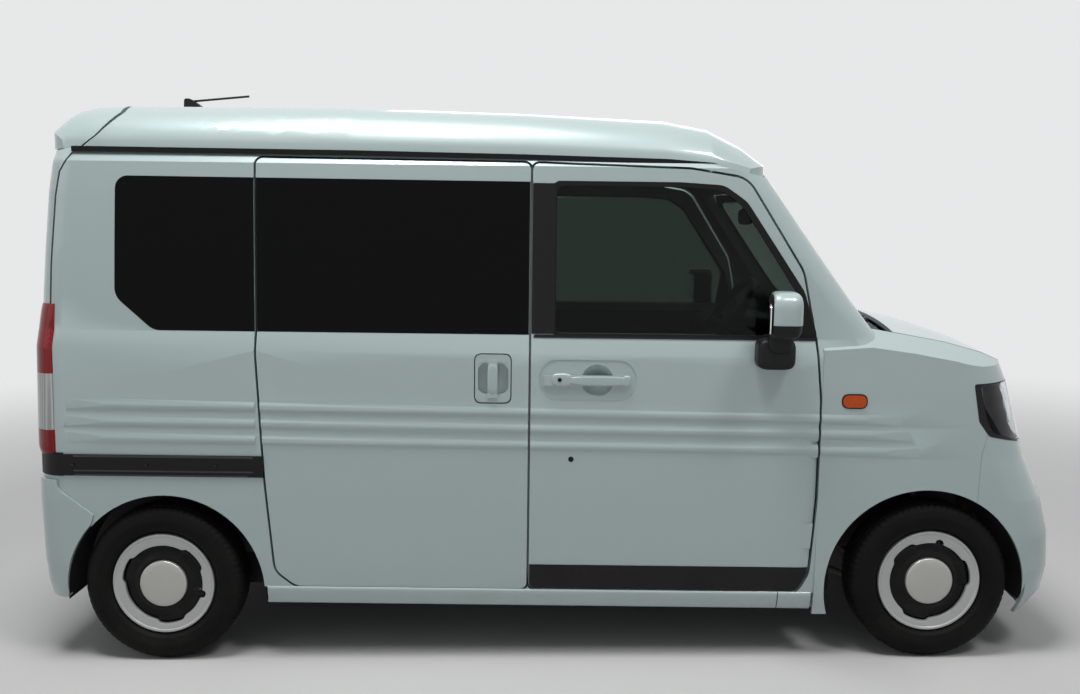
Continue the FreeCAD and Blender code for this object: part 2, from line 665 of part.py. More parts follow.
def nose_pieces(b):
    """Bonnet, fenders, lamps, grille, bumper and cowl, cut from the nose."""
    lamp = prism(HEADLAMP, "xz", -900, -lamp_in_y)
    lamp_gap = prism(HEADLAMP, "xz", -900, -lamp_in_y + panel_gap / 2, trim_gap)
    ahead = box(1180, 1800, -900, 900, 0, 2000)
    house = crust(0, lamp_body, lamp).common(ahead)
    seam = [(seam_x + 22, 786, 0), (seam_x + 1, 707, 60), (seam_x - 3, 560, 0), (seam_x - 3, 100, 0),
            (1800, 100, 0), (1800, 786, 0)]
    bumper_zone = prism(seam, "xz", -900, 900).cut(lamp_gap).cut(mirror(lamp_gap))
    bumper_zone = bumper_zone.fuse(box(1400, 1800, -lamp_in_y + 4, lamp_in_y - 4, 700, grille_low_z - 3))
    bumper = crust(0, skin, bumper_zone)
    hole = [(-intake["half"], intake["low"], 40), (intake["half"], intake["low"], 40),
            (intake["half"] - 40, intake["high"], 40), (-intake["half"] + 40, intake["high"], 40)]
    bumper = bumper.cut(prism(hole, "yz", 1400, 1800))
    for y in (-1, 1):
        bumper = bumper.cut(rod((1400, y * fog_y, fog_z), (1800, y * fog_y, fog_z), fog_r + 4))
    liner_room = arch_round(front_arch, front_arch["liner"] + 6, -720, -front_house_y + 6)
    lip_room = arch_round(front_arch, front_arch["lip"], -900, -700)
    bumper = bumper.cut(liner_room).cut(mirror(liner_room)).cut(lip_room).cut(mirror(lip_room))
    bonnet_zone = plan_zone(bonnet_back_x, bonnet_half, 1).common(box(0, 1800, -900, 900, grille_top_z + 5, 1300))
    bonnet = crust(0, skin, bonnet_zone)
    fender_zone = box(door_front_x + panel_gap / 2, 1800, -900, -bonnet_half - panel_gap / 2, 150, 1300)
    fender = crust(0, skin, fender_zone).cut(prism(seam, "xz", -900, 900, trim_gap)).cut(lamp_gap)
    fender = fender.cut(box(door_front_x, bonnet_back_x + 80, -900, 0, fender_top_z, 1300).common(cabin(-seat_gap)))
    fender = fender.cut(lip_room)
    wing = [(door_front_x + panel_gap / 2, 650, 0), (1300, 650, 0), (1300, 900, 0), (door_front_x + panel_gap / 2, 900, 0)]
    fender = joined(biggest(fender), *beads(wing, 0.0))
    grille_zone = box(1400, 1800, -lamp_in_y + seat_gap, lamp_in_y - seat_gap, grille_low_z + 2, grille_top_z)
    frame = crust(0, grille_deep, grille_zone)
    inner = prism([(-lamp_in_y + 26, grille_low_z + 22, 20), (lamp_in_y - 26, grille_low_z + 22, 20),
                   (lamp_in_y - 26, grille_top_z - 18, 20), (-lamp_in_y + 26, grille_top_z - 18, 20)],
                  "yz", 1400, 1800)
    bars = [crust(4, grille_deep, box(1400, 1800, -lamp_in_y + 10, lamp_in_y - 10, z, z + 14))
            for z in (848.0, 878.0)]
    back = crust(grille_deep - 4, grille_deep, grille_zone)
    grille = biggest(joined(frame.cut(inner), back, *bars))
    low_grille = crust(22, 30, prism(hole, "yz", 1400, 1800, -seat_gap))
    slats = [crust(8, 26, box(1400, 1800, -intake["half"] + 30, intake["half"] - 30, z, z + 12))
             for z in (300.0, 350.0, 400.0, 450.0)]
    low_grille = biggest(joined(biggest(low_grille), *slats).common(prism(hole, "yz", 1400, 1800, -seat_gap)))
    cowl_zone = plan_zone(bonnet_back_x - cowl_gap, bonnet_half - 6, -1).common(box(0, 1800, -900, 900, 1000, 1300))
    cowl = crust(18, 30, cowl_zone).cut(cabin(screen_deep - seat_gap))
    return bonnet, fender, biggest(house), grille, low_grille, biggest(bumper), biggest(cowl)


def bonnet_hinges(b):
    """Lugs under the bonnet and the posts that hold their pins."""
    x, z = bonnet_pin
    lugs, posts = [], []
    for side in (-1, 1):
        y = side * bonnet_hinge_y
        lug = joined(rod((x, y - 8, z), (x, y + 8, z), barrel_r), box(x - 6, x + 24, y - 8, y + 8, z, z + 80))
        lugs.append(lug.common(nose(5)))
        for s in (-1, 1):
            c = y + s * (8 + seat_gap + 4)
            posts.append(joined(rod((x, c - 4, z), (x, c + 4, z), barrel_r),
                                box(x - 6, x + 6, c - 4, c + 4, rail_z - 10, z)))
    return lugs, posts[:2]


def inner_fender():
    """Right apron with its top rail and the tower over the strut."""
    apron = box(firewall_x - 30, 1420, -front_house_y + 8, -front_house_y + 20, 300, rail_z - 10)
    rail = box(firewall_x - 30, 1420, -front_house_y - 110, -bonnet_hinge_y + 30, rail_z - 40, rail_z)
    top = V(*strut_point(1.0))
    axis = strut_axis()
    cap = Part.makeCylinder(66, 18, top + axis * seat_gap, axis)
    tower = box(top.x - 90, top.x + 90, -front_house_y - 140, -front_house_y + 20, 764, 784)
    sides = box(top.x - 90, top.x - 78, -front_house_y - 140, -front_house_y + 20, 640, 784)
    sides = sides.fuse(box(top.x + 78, top.x + 90, -front_house_y - 140, -front_house_y + 20, 640, 784))
    tower = tower.fuse(sides).cut(Part.makeCylinder(72, 120, top - axis * (120 - seat_gap), axis))
    bulkhead = cabin(bulkhead_inset - seat_gap)
    return apron.cut(bulkhead), rail.cut(bulkhead), tower, cap


def arch_liner():
    """Right front arch liner, open in the middle for the strut."""
    r = front_arch["liner"]
    y0, y1 = -(side_w - skin - seat_gap), -(front_house_y - 8 + seat_gap)
    shell = arch_round(front_arch, r + 4, y0, y1).cut(arch_round(front_arch, r, -900, 0))
    shell = shell.common(box(800, 1600, -900, 0, 215, 900))
    shell = shell.common(nose(skin + seat_gap))
    return shell.cut(box(front_axle_x - 130, front_axle_x + 130, -640, 0, 300, 900))


def strut_axis():
    """Direction of the right steering axis, upwards."""
    d = V(0, -kingpin_top[0] + kingpin_low[0], kingpin_top[1] - kingpin_low[1])
    return d.normalize()


def strut_point(t):
    """Point on the right steering axis, 0 at the ball joint and 1 at the top."""
    y = -(kingpin_low[0] + (kingpin_top[0] - kingpin_low[0]) * t)
    return front_axle_x, y, kingpin_low[1] + (kingpin_top[1] - kingpin_low[1]) * t


def tyre(x, side):
    """Round tyre with flat tread, rounded shoulders and full sidewalls."""
    w = tyre_w / 2
    bead = rim_w / 2 - 4
    pts = [(rim_r + seat_gap, -bead), (rim_r + 14, -w + 6), (rim_r + 46, -w), (tyre_r - 22, -w + 3),
           (tyre_r - 6, -w + 12), (tyre_r, -w + 24), (tyre_r, w - 24), (tyre_r - 6, w - 12), (tyre_r - 22, w - 3),
           (rim_r + 46, w), (rim_r + 14, w - 6), (rim_r + seat_gap, bead)]
    return turned_ring(pts, x, side)


def turned_ring(pts, x, side):
    """Revolves (radius, outward) points about a wheel's axis."""
    wire = Part.makePolygon([V(0, side * s, r) for r, s in pts + pts[:1]])
    ring = Part.Face(wire).revolve(V(0, 0, 0), V(0, 1, 0), 360)
    ring.translate(V(x, side * wheel_y, tyre_r))
    return ring if ring.Volume > 0 else ring.reversed()


def wheel(x, side):
    """Steel wheel: barrel, dished disc, trim ring and centre cap."""
    w = rim_w / 2
    pts = [(rim_r, -w), (rim_r, -w + 12), (rim_r - 14, -w + 22), (rim_r - 14, w - 20), (rim_r, w - 12), (rim_r, w),
           (rim_r - 6, w + 2), (ring_inner_r, w - 12), (ring_inner_r - 14, w - 18), (104, w - 8), (cap_r, w - 6),
           (cap_r - 6, w + 8), (30, w + 12), (0, w + 12), (0, hub_face), (hub_r, hub_face), (86, hub_face + 6),
           (ring_inner_r - 4, w - 26), (rim_r - 20, w - 28), (rim_r - 20, -w + 20), (rim_r - 8, -w)]
    disc = turned_ring(pts, x, side)
    c = V(x, side * wheel_y, tyre_r)
    for i in range(6):
        a = radians(60 * i + 15)
        p = c + V(118 * cos(a), 0, 118 * sin(a))
        disc = disc.cut(Part.makeCylinder(15, 90, p + V(0, side * (hub_face - 20), 0), V(0, side, 0)))
    return disc


def knuckle():
    """Right hub carrier on its strut."""
    low, top, axis = V(*strut_point(0.0)), V(*strut_point(1.0)), strut_axis()
    span = (top - low).Length
    hub_y = -(wheel_y + hub_face - seat_gap)
    ball = Part.makeCylinder(17, 60, low + axis * 12, axis)
    tube = Part.makeCylinder(25, span - 30 - 210, low + axis * 210, axis)
    rod_top = Part.makeCylinder(11, span - 60, low + axis * 60, axis)
    seat_low = Part.makeCylinder(60, 8, low + axis * 430, axis)
    seat_up = Part.makeCylinder(60, 8, top - axis * 8, axis)
    spring = []
    for k in range(4):
        ring = Part.makeTorus(52, 7, low + axis * (452 + 38 * k), axis)
        spring.append(ring)
    bush = Part.makeCylinder(50, 8 + 38 * 4 + 30, low + axis * 430, axis)
    carrier = box(front_axle_x - 34, front_axle_x + 34, -620, -565, 190, 330)
    neck = box(front_axle_x - 24, front_axle_x + 24, -590, -548, 300, 420)
    hub = rod((front_axle_x, -590, tyre_r), (front_axle_x, hub_y, tyre_r), 52)
    disc = rod((front_axle_x, -622, tyre_r), (front_axle_x, -634, tyre_r), 88)
    arm = box(front_axle_x - 150, front_axle_x - 20, -590, -566, 196, 216)
    return biggest(joined(carrier, ball, tube, rod_top, seat_low, seat_up, bush, neck, hub, disc, arm))


def front_suspension():
    """Crossmember, lower arms with ball-joint seats, and steering rack."""
    low, axis = V(*strut_point(0.0)), strut_axis()
    beam = box(front_axle_x - 110, front_axle_x - 20, -330, 330, 190, 250)
    arms = []
    for side in (-1, 1):
        pad = Part.makeCylinder(22, 16, low + axis * (12 - seat_gap - 16), axis)
        arm = box(front_axle_x - 26, front_axle_x + 26, -604, -300, 146, 160)
        arm = arm.cut(Part.makeCylinder(40, 80, low + axis * (12 - seat_gap), axis))
        stay = rod((front_axle_x - 10, -560, 153), (front_axle_x - 300, -330, 200), 12)
        whole = joined(arm, pad, stay, box(front_axle_x - 90, front_axle_x - 20, -340, -300, 146, 200))
        arms.append(whole if side < 0 else mirror(whole))
    rack = rod((front_axle_x - 150, -380, 230), (front_axle_x - 150, 380, 230), 22)
    hold = box(front_axle_x - 160, front_axle_x - 100, -200, 200, 215, 245)
    return biggest(joined(beam, *arms, rack, hold))


def rear_axle():
    """Beam axle with its drums, differential, springs and arms."""
    x, z = rear_axle_x, tyre_r
    hub_y = wheel_y + hub_face - seat_gap
    spring_top = turned(x - 8, 556.0)[1] - seat_gap
    beam = rod((x, -600, z), (x, 600, z), 36)
    pieces = [Part.makeSphere(108, V(x, 0, z)), rod((x, 0, z), (x + 190, 0, z + 4), 42)]
    for side in (-1, 1):
        pieces.append(rod((x, side * 590, z), (x, side * 640, z), 104))
        pieces.append(rod((x, side * 600, z), (x, side * hub_y, z), 52))
        pieces.append(rod((x + 30, side * 470, z - 20), (x + 520, side * 470, 225), 20))
        pieces.append(rod((x - 40, side * 440, z), (x - 40, side * 440, spring_top), 46))
        pieces.append(rod((x, side * 500, z), (x - 70, side * 500, spring_top - 60), 18))
    return biggest(joined(beam, *pieces))


def tail_extras(b):
    """Rear bumper, inner rear panel and tail lamps."""
    bumper = cover(-9, 11, prism(TAIL_SEAM, "xz", -900, 900))
    lip = arch_round(rear_arch, rear_arch["lip"] + 4, -900, -500)
    bumper = bumper.cut(lip).cut(mirror(lip))
    panel = cover(11 + seat_gap, wall, box(-1800, -1560, -640 + seat_gap, 640 - seat_gap, 250,
                                              bumper_top_z - seat_gap))
    for s in (-1, 1):
        y0, y1 = sorted((s * 500, s * 800))
        panel = panel.cut(arch_round(rear_arch, rear_arch["liner"] + 4 + seat_gap, y0, y1))
    lamp = cover(0, lamp_deep, box(-1800, lamp_front_x, -800, -tail_half - panel_gap,
                                             lamp_low_z, lamp_top_z))
    return biggest(bumper), biggest(panel), biggest(lamp)


def moulding():
    """Right drip moulding along the gutter, with capped ends."""
    run = [(x, z) for x, z in GUTTER if -1540 < x < 640]
    run = [(-1546.0, 1652.0)] + run + [(660.0, 1590.0)]
    up = [(x, z + 7) for x, z in run]
    low = [(x, z - 9) for x, z in reversed(run)]
    strip = prism(sharp(low + up), "xz", -681, -600)
    return strip


def floor_pan(b):
    """Floor in three levels, its sides and the rear wheelhouses."""
    w = half - wall - 1.0
    seat_x, step_x, back_x = 420.0, -150.0, -1628.0
    low, mid, top = floor_z, 580.0, 640.0
    plates = [
        box(seat_x - 12, firewall_x - wall - 1, -w, w, low - floor_t, low),
        box(seat_x - 12, seat_x, -w, w, low - floor_t, top),
        box(step_x, seat_x, -w, w, top - 24, top),
        box(step_x, step_x + 12, -w, w, mid - 24, top),
        box(back_x, step_x + 12, -620, 620, mid - 24, mid),
        box(quarter_x + 60, step_x + 12, -w, w, mid - 24, mid),
    ]
    for side in (-1, 1):
        y0, y1 = sorted((side * w, side * (w - 20)))
        plates.append(box(step_x, seat_x, y0, y1, sill_z + 20, top))
        plates.append(box(seat_x - 12, firewall_x - wall - 1, y0, y1, sill_z + 20, low))
        plates.append(box(quarter_x + 60, step_x + 12, y0, y1, sill_z + 20, mid))
        y0, y1 = sorted((side * 330, side * 390))
        plates.append(box(quarter_x + 60, step_x, y0, y1, mid - 130, mid - 20))
        plates.append(box(seat_x - 12, firewall_x - wall - 1, y0, y1, low - 90, low - 20))
    whole = joined(*plates).common(cabin(wall + seat_gap))
    for side in (-1, 1):
        y0, y1 = sorted((side * 655, side * 800))
        whole = whole.cut(box(740, 900, y0, y1, 0, 700))
        y0, y1 = sorted((side * 620, side * 800))
        whole = whole.cut(box(pillar_x - 41, pillar_x + 41, y0, y1, 0, 700))
    r = rear_arch["liner"]
    for side in (-1, 1):
        y0, y1 = sorted((side * (rear_house_y - 4), side * 716))
        outer = arch_round(rear_arch, r + 4, y0, y1)
        y0, y1 = sorted((side * rear_house_y, side * 717))
        inner = arch_round(rear_arch, r, y0, y1)
        house = outer.cut(inner).common(box(-1800, -800, -800, 800, 300, 800))
        rib = box(rear_arch["x"] - 40, rear_arch["x"] + 40, min(side * 560, side * 600), max(side * 560, side * 600),
                  rear_arch["z"] + r + 1, mid - 20)
        whole = joined(whole.cut(inner), house, rib)
    return biggest(whole)


def seats():
    """Two front seats and the rear bench, as plain cushions."""
    def one(x, y, w, z, deep, back, head):
        cushion = prism([(x, z, 30), (x + deep, z, 40), (x + deep, z + 130, 50), (x + 60, z + 110, 20)],
                        "xz", y - w / 2, y + w / 2)
        rest = prism([(x - 20, z + 40, 20), (x + 70, z + 90, 20), (x - 60, z + back, 50), (x - 160, z + back, 50)],
                     "xz", y - w / 2 + 15, y + w / 2 - 15)
        parts = [joined(cushion, rest)]
        for h in head:
            pad = prism([(x - 160, z + back + 30, 25), (x - 85, z + back + 30, 25), (x - 105, z + back + 190, 30),
                         (x - 170, z + back + 190, 30)], "xz", y + h - 120, y + h + 120)
            stalk = [rod((x - 122, y + h + k, z + back - 30), (x - 128, y + h + k, z + back + 60), 6) for k in (-50, 50)]
            parts.append(joined(pad, *stalk))
        return joined(*parts)
    front = [one(-60.0, side * 330, 480, 640.4, 470, 560, [0]) for side in (-1, 1)]
    bench = one(-900.0, 0, 1180, 580.4, 430, 520, [-300, 300])
    return front, bench


def dashboard():
    """Dash across the cabin, sloping to the screen."""
    section = [(640, 700, 30), (600, 900, 40), (640, 1050, 50), (760, 1084, 40), (960, 1070, 0), (960, 800, 0),
               (780, 640, 0)]
    return biggest(prism(section, "xz", -620, 620).common(cabin(wall + seat_gap)))


def steering():
    """Steering wheel with its column, on the right."""
    hub = V(590, -330, 1090)
    axis = V(-0.82, 0, 0.57)
    axis.normalize()
    rim = Part.makeTorus(182, 14, hub, axis)
    boss = Part.makeCylinder(55, 40, hub - axis * 46, axis)
    spokes = []
    across = V(0, 1, 0)
    up = across.cross(axis)
    for d in (across, across * -1, up * (-1 if up.z > 0 else 1)):
        spokes.append(Part.makeCylinder(13, 182, hub - axis * 14, d - axis * -0.06))
    column = Part.makeCylinder(30, 120, hub - axis * 150, axis)
    return joined(rim, boss, *spokes, column)


def running_gear():
    """Engine block, propeller shaft, tank, exhaust and radiator."""
    engine = box(-108, 380, -230, 230, 207, 616 - seat_gap)
    shaft = rod((-106, 0, 330), (rear_axle_x + 193, 0, tyre_r + 4.5), 30)
    tank = prism([(-880, 250, 40), (-280, 250, 40), (-280, 450 - seat_gap, 30), (-880, 450 - seat_gap, 30)],
                 "xz", 90, 520)
    silencer = rod((-1480, -330, 330), (-1480, 230, 330), 78)
    hangers = [rod((-1480, y, 380), (-1480, y, 556 - seat_gap), 8) for y in (-260, 160)]
    pipe = rod((-1480, -300, 300), (-1600, -300, 262), 20)
    front_pipe = rod((-109.5, -215, 300), (-860, -215, 330), 22)
    joint_pipe = rod((-856, -215, 330), (-1080, -200, 440), 22)
    back_pipe = rod((-1076, -200, 440), (-1480, -200, 350), 22)
    exhaust = joined(silencer, *hangers, pipe, front_pipe, joint_pipe, back_pipe)
    core = box(1488, 1530, -330, 330, 290, 700)
    support = box(1420.3, 1434, -412, 412, 300, 700).cut(box(1400, 1440, -360, 360, 330, 660))
    links = [box(1430, 1490, y0, y0 + 20, z0, z0 + 16) for y0 in (-330, 310) for z0 in (300, 684)]
    stays = [box(1430, 1490, y0, y0 + 60, z0, z0 + 16) for y0 in (-390, 330) for z0 in (300, 684)]
    radiator = joined(core, support, *links, *stays)
    return engine, shaft, tank, exhaust, radiator


def door_mirror():
    """Right door mirror: foot, neck and head."""
    foot = prism([(626, 990, 14), (751, 990, 14), (740, 1066, 16), (650, 1066, 16)], "xz", -806, -720)
    neck = prism([(660, 1050, 0), (735, 1050, 0), (740, 1100, 0), (665, 1100, 0)], "xz", -812, -776)
    head = prism([(640, 1092, 24), (752, 1092, 24), (760, 1236, 34), (632, 1240, 34)], "xz", -930, -772)
    round_plan = prism([(628, -772, 30), (700, -772, 60), (762, -800, 50), (758, -905, 60), (700, -932, 60),
                        (628, -932, 30)], "xy", 1080, 1250)
    return foot, neck, head.common(round_plan)


def build():
    b = Body()
    side = side_frame(b)
    door = front_door(b)
    slide = slide_door(b)
    gate, gate_hinges = tail_pieces(b)
    header = prism(sharp(HEADER), "yz", 300, 1300, -seat_gap).common(b.under_gutter)
    header = cover(0, wall, header)
    roof_panel = b.roof_shell.cut(tail_zone(panel_gap)).fuse(header)
    roof_panel = biggest(joined(biggest(roof_panel), *gate_hinges))
    save("side_frame_right", side)
    save("side_frame_left", mirror(side))
    save("roof_panel", roof_panel)
    save("front_door_right", door)
    save("front_door_left", mirror(door))
    save("slide_doors", both(slide))
    save("tailgate", gate)
    front_glass = window_in(b, FRONT_WINDOW, 6)
    save("front_window_right", front_glass)
    save("front_window_left", mirror(front_glass))
    slide_pane = window_in(b, GLASS_BAND, 1, quarter_x + 5, pillar_x - 5)
    quarter_pane = window_in(b, GLASS_BAND, 1, -1600, quarter_x - 5)
    save("side_glass", both(slide_pane) + both(quarter_pane))
    screen = cover(screen_deep, screen_deep + glass_t, prism(SCREEN, "yz", 300, 1300, -seat_gap))
    save("windscreen", biggest(screen))
    back_glass = cover(4, 4 + glass_t, prism(TAIL_WINDOW, "yz", -1800, -1500, -seat_gap))
    save("tailgate_glass", biggest(back_glass))
    firewall = cover(bulkhead_inset, wall, box(door_front_x + 2, 1300, -640 + seat_gap, 640 - seat_gap, floor_z - floor_t,
                                  screen_low_z - 2 * seat_gap))
    save("firewall", biggest(firewall))

    bonnet, fender, lamp, grille, low_grille, bumper, cowl = nose_pieces(b)
    lugs, posts = bonnet_hinges(b)
    save("bonnet", biggest(joined(biggest(bonnet), *lugs)))
    save("front_fenders", both(biggest(fender)))
    save("headlamps", both(lamp))
    save("grille", grille)
    save("lower_grille", low_grille)
    save("front_bumper", bumper)
    save("cowl", cowl)
    apron, rail, tower, cap = inner_fender()
    apron = biggest(joined(seat(joined(apron, rail, *posts)), tower, cap))
    save("inner_fenders", both(apron), False)
    save("arch_liners", both(biggest(arch_liner())))

    back_bumper, back_panel, tail_lamp = tail_extras(b)
    save("rear_bumper", back_bumper)
    save("rear_panel", back_panel)
    save("tail_lamps", both(tail_lamp))
    strip = moulding().cut(cabin(-seat_gap)).cut(roof(-seat_gap))
    save("roof_mouldings", both(biggest(strip)))
    rail_bar = cover(-6, -seat_gap, box(-1662, -942, -900, -600, rail_low_z + 1, rail_top_z - 1))
    save("slide_rails", both(biggest(rail_bar)))
    marker = crust(-4, -seat_gap, prism(
        [(921, 858, 18), (996, 858, 18), (996, 898, 18), (921, 898, 18)], "xz", -900, -600))
    save("side_markers", both(biggest(marker)))
    garnish = cover(-14, -seat_gap, box(-1800, -1500, -330, 330, 990, 1060))
    save("tailgate_trim", biggest(garnish))
    foot, neck, head = door_mirror()
    mirror_right = joined(foot, neck, head).cut(cabin(-seat_gap))
    save("mirror_right", biggest(mirror_right))
    save("mirror_left", mirror(biggest(mirror_right)))
    pillar_trim = cover(-1.5, -seat_gap, prism([(-81, 1082, 0), (-8, 1082, 0), (-8, 1560, 0), (-81, 1560, 0)],
                                                         "xz", -900, -600))
    low_band = box(-80, 840, -900, -600, door_z, crease_z - 2)
    lower_strip = cover(-1.5, -seat_gap, low_band.common(prism(FRONT_DOOR, "xz", -900, -600, -panel_gap / 2 - 1)))
    save("door_trim_right", [biggest(pillar_trim), biggest(lower_strip)])
    save("door_trim_left", [mirror(biggest(pillar_trim)), mirror(biggest(lower_strip))])
    top = b.roof.common(box(-1420, -1320, -40, 40, 1600, 1900)).BoundBox.ZMax
    base = prism([(-1409, top - 20, 0), (-1330, top - 20, 0), (-1345, top + 22, 8), (-1385, top + 48, 12),
                  (-1405, top + 48, 8)], "xz", -18, 18).cut(roof(-seat_gap))
    aerial = rod((-1390, 0, top + 38), (-1164, 0, top + 60), 4)
    save("antenna", biggest(joined(biggest(base), aerial)))

    save("floor_pan", floor_pan(b))
    front_seats, bench = seats()
    save("front_seats", front_seats)
    save("rear_seat", bench)
    save("dashboard", dashboard())
    save("steering_wheel", biggest(steering().cut(dashboard())))
    engine, shaft, tank, exhaust, radiator = running_gear()
    save("engine", engine)
    save("propeller_shaft", shaft, False)
    save("fuel_tank", tank)
    save("exhaust", exhaust)
    save("radiator", radiator)

    save("front_suspension", front_suspension(), False)
    save("rear_axle", rear_axle(), False)
    carrier = knuckle()
    save("knuckle_right", carrier, False)
    save("knuckle_left", mirror(carrier), False)
    for end, x in (("front", front_axle_x), ("rear", rear_axle_x)):
        for hand, side_way in (("right", -1), ("left", 1)):
            save("tyre_" + end + "_" + hand, tyre(x, side_way), False)
            save("wheel_" + end + "_" + hand, wheel(x, side_way), False)


os.makedirs(OUT, exist_ok=True)
build()
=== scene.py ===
import json
import math
import bmesh
import bpy
import numpy as np
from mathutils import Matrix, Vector


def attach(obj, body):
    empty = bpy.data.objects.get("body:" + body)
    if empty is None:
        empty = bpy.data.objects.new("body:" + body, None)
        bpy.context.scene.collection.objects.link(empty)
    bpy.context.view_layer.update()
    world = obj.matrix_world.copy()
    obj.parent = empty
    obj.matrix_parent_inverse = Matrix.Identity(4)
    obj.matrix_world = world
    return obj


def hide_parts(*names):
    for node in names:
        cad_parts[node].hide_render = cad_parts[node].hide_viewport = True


# Small box van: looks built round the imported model. Lengths in the dictionaries are millimetres in the level
# body, with +X to the front and +Y to the left; seated() leans them nose down as the van stands.
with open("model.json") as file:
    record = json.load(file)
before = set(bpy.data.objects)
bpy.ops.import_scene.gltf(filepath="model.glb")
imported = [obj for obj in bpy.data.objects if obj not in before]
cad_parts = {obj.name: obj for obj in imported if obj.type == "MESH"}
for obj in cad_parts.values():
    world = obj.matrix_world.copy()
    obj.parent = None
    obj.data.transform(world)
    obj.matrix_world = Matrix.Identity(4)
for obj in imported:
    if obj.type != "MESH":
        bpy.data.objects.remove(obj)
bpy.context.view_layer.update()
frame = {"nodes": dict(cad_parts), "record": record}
nodes = frame["nodes"]
print("frame loaded:", len(nodes), "nodes")

bodyLines = {
    "rake": 0.9,
    "tailRound": 100.0, "pillarRound": 105.0, "noseRound": 180.0,
    "screenBow": 60.0, "noseBow": 24.0, "tailBow": 8.0,
    # height, half width, tail, front
    "cabin": [(177, 704, -1672, 905), (237, 722, -1679, 905), (327, 729, -1685, 905),
              (520, 733, -1689, 905), (760, 733, -1688, 905), (1020, 731, -1683, 1102),
              (1076, 714, -1681, 1056), (1200, 710, -1675, 958), (1350, 705, -1664, 848),
              (1521, 697, -1650, 727), (1613, 690, -1637, 662), (1660, 660, -1632, 630)],
    # height, half width, front
    "nose": [(163, 716, 1612), (237, 728, 1664), (315, 733, 1677), (430, 733, 1671), (556, 733, 1638),
             (689, 733, 1575), (793, 733, 1545), (939, 733, 1500), (1016, 733, 1466), (1180, 733, 1400)],
}
leanCos = math.cos(math.radians(bodyLines["rake"]))
leanSin = math.sin(math.radians(bodyLines["rake"]))
weldGap = 0.00002  # metres
shell = ("body_shell", "body_shell")
doors = ("door_right", "door_left")


# Points and meshes

def seated(points):
    # level body to the ground: a turn about the Y axis by the rake
    x, y, z = np.moveaxis(points, -1, 0)
    return np.stack([x * leanCos + z * leanSin, y, -x * leanSin + z * leanCos], -1)


def rowsAt(table, z):
    # straight lines between the table's rows, one value per column
    t = np.array(bodyLines[table], float)
    return [np.interp(z, t[:, 0], t[:, k]) for k in range(1, t.shape[1])]


def cabinSide(x, z):
    # half width at a height, less a quarter circle where the tail corner starts
    w, tail, front = rowsAt("cabin", z)
    r = bodyLines["tailRound"]
    past = np.clip((tail + r - x) / r, 0, 1)
    return w - r + r * np.sqrt(1 - past ** 2)


def screenFace(y, z):
    # front of the cabin: the row's front plus a bow that falls with the square of y
    w, tail, front = rowsAt("cabin", z)
    flat = w - bodyLines["pillarRound"]
    return front + bodyLines["screenBow"] * (1 - (y / flat) ** 2)


def tailFace(y, z):
    # tail of the cabin: the row's tail with a bow over its flat part, then a quarter circle to the side
    w, tail, front = rowsAt("cabin", z)
    r = bodyLines["tailRound"]
    flat = w - r
    over = np.clip((np.abs(y) - flat) / r, 0, 1)
    bowed = -tail + bodyLines["tailBow"] * (1 - np.clip(np.abs(y) / flat, 0, 1) ** 2)
    return -(bowed - r * (1 - np.sqrt(1 - over ** 2)))


def nosePlan(run, z, lift):
    # walks round the nose from the middle: bowed front, quarter circle, straight side; lift moves it outwards
    w, front = rowsAt("nose", z)
    r = bodyLines["noseRound"]
    flat = w - r
    arc = r * math.pi / 2
    turn = np.clip((run - flat) / arc, 0, 1) * math.pi / 2
    back = np.clip(run - flat - arc, 0, None)
    y = np.where(run < flat, run, flat + (r + lift) * np.sin(turn))
    bow = bodyLines["noseBow"] * (1 - (np.minimum(run, flat) / flat) ** 2)
    x = front + bow - (r + lift) * (1 - np.cos(turn)) + lift - back
    return np.stack([x, -y, z + 0 * run], -1)


def onSide(x, z, lift):
    # place on the right side of the cabin, lifted outwards
    return np.stack([x, -(cabinSide(x, z) + lift), z], -1)


def onNoseSide(x, z, lift):
    # place on the right side of the nose, lifted outwards
    w, front = rowsAt("nose", z)
    return np.stack([x, -(w + lift), z], -1)


def onTail(y, z, lift):
    # place on the tail, lifted backwards
    return np.stack([tailFace(y, z) - lift, y, z], -1)


def onScreen(y, z, lift):
    # place on the windscreen's face, lifted forwards
    return np.stack([screenFace(y, z) + lift, y, z], -1)


def onNose(y, z, lift):
    # place on the flat part of the nose, lifted forwards
    w, front = rowsAt("nose", z)
    bow = bodyLines["noseBow"] * (1 - (y / (w - bodyLines["noseRound"])) ** 2)
    return np.stack([front + bow + lift, y, z], -1)


def onCorner(turn, z, lift):
    # place round the right tail corner, an angle on from the side, lifted outwards
    w, tail, front = rowsAt("cabin", z)
    r = bodyLines["tailRound"]
    x = tail + r - (r + lift) * np.sin(turn)
    y = -(w - r + (r + lift) * np.cos(turn))
    return np.stack([x, y, z + 0 * turn], -1)


def gridFaces(rows, cols, loopRows=False, loopCols=False):
    # quads between neighbouring grid points, closed round where asked
    i = np.arange(rows if loopRows else rows - 1)[:, None]
    j = np.arange(cols if loopCols else cols - 1)[None, :]
    nextRow = (i + 1) % rows * cols
    nextCol = (j + 1) % cols
    quads = np.stack([i * cols + j, i * cols + nextCol, nextRow + nextCol, nextRow + j], -1)
    return quads.reshape(-1, 4).tolist()


def tube(grid):
    # a closed ring of rows carried over the columns, with one face at either end
    rows, cols = grid.shape[:2]
    first = np.arange(rows) * cols
    ends = [first.tolist(), (first + cols - 1)[::-1].tolist()]
    return grid.reshape(-1, 3), gridFaces(rows, cols, loopRows=True) + ends


def walled(outer, inner):
    # closed wall between an outer and an inner surface that run over the same grid
    return tube(np.concatenate([outer, inner[::-1]]))


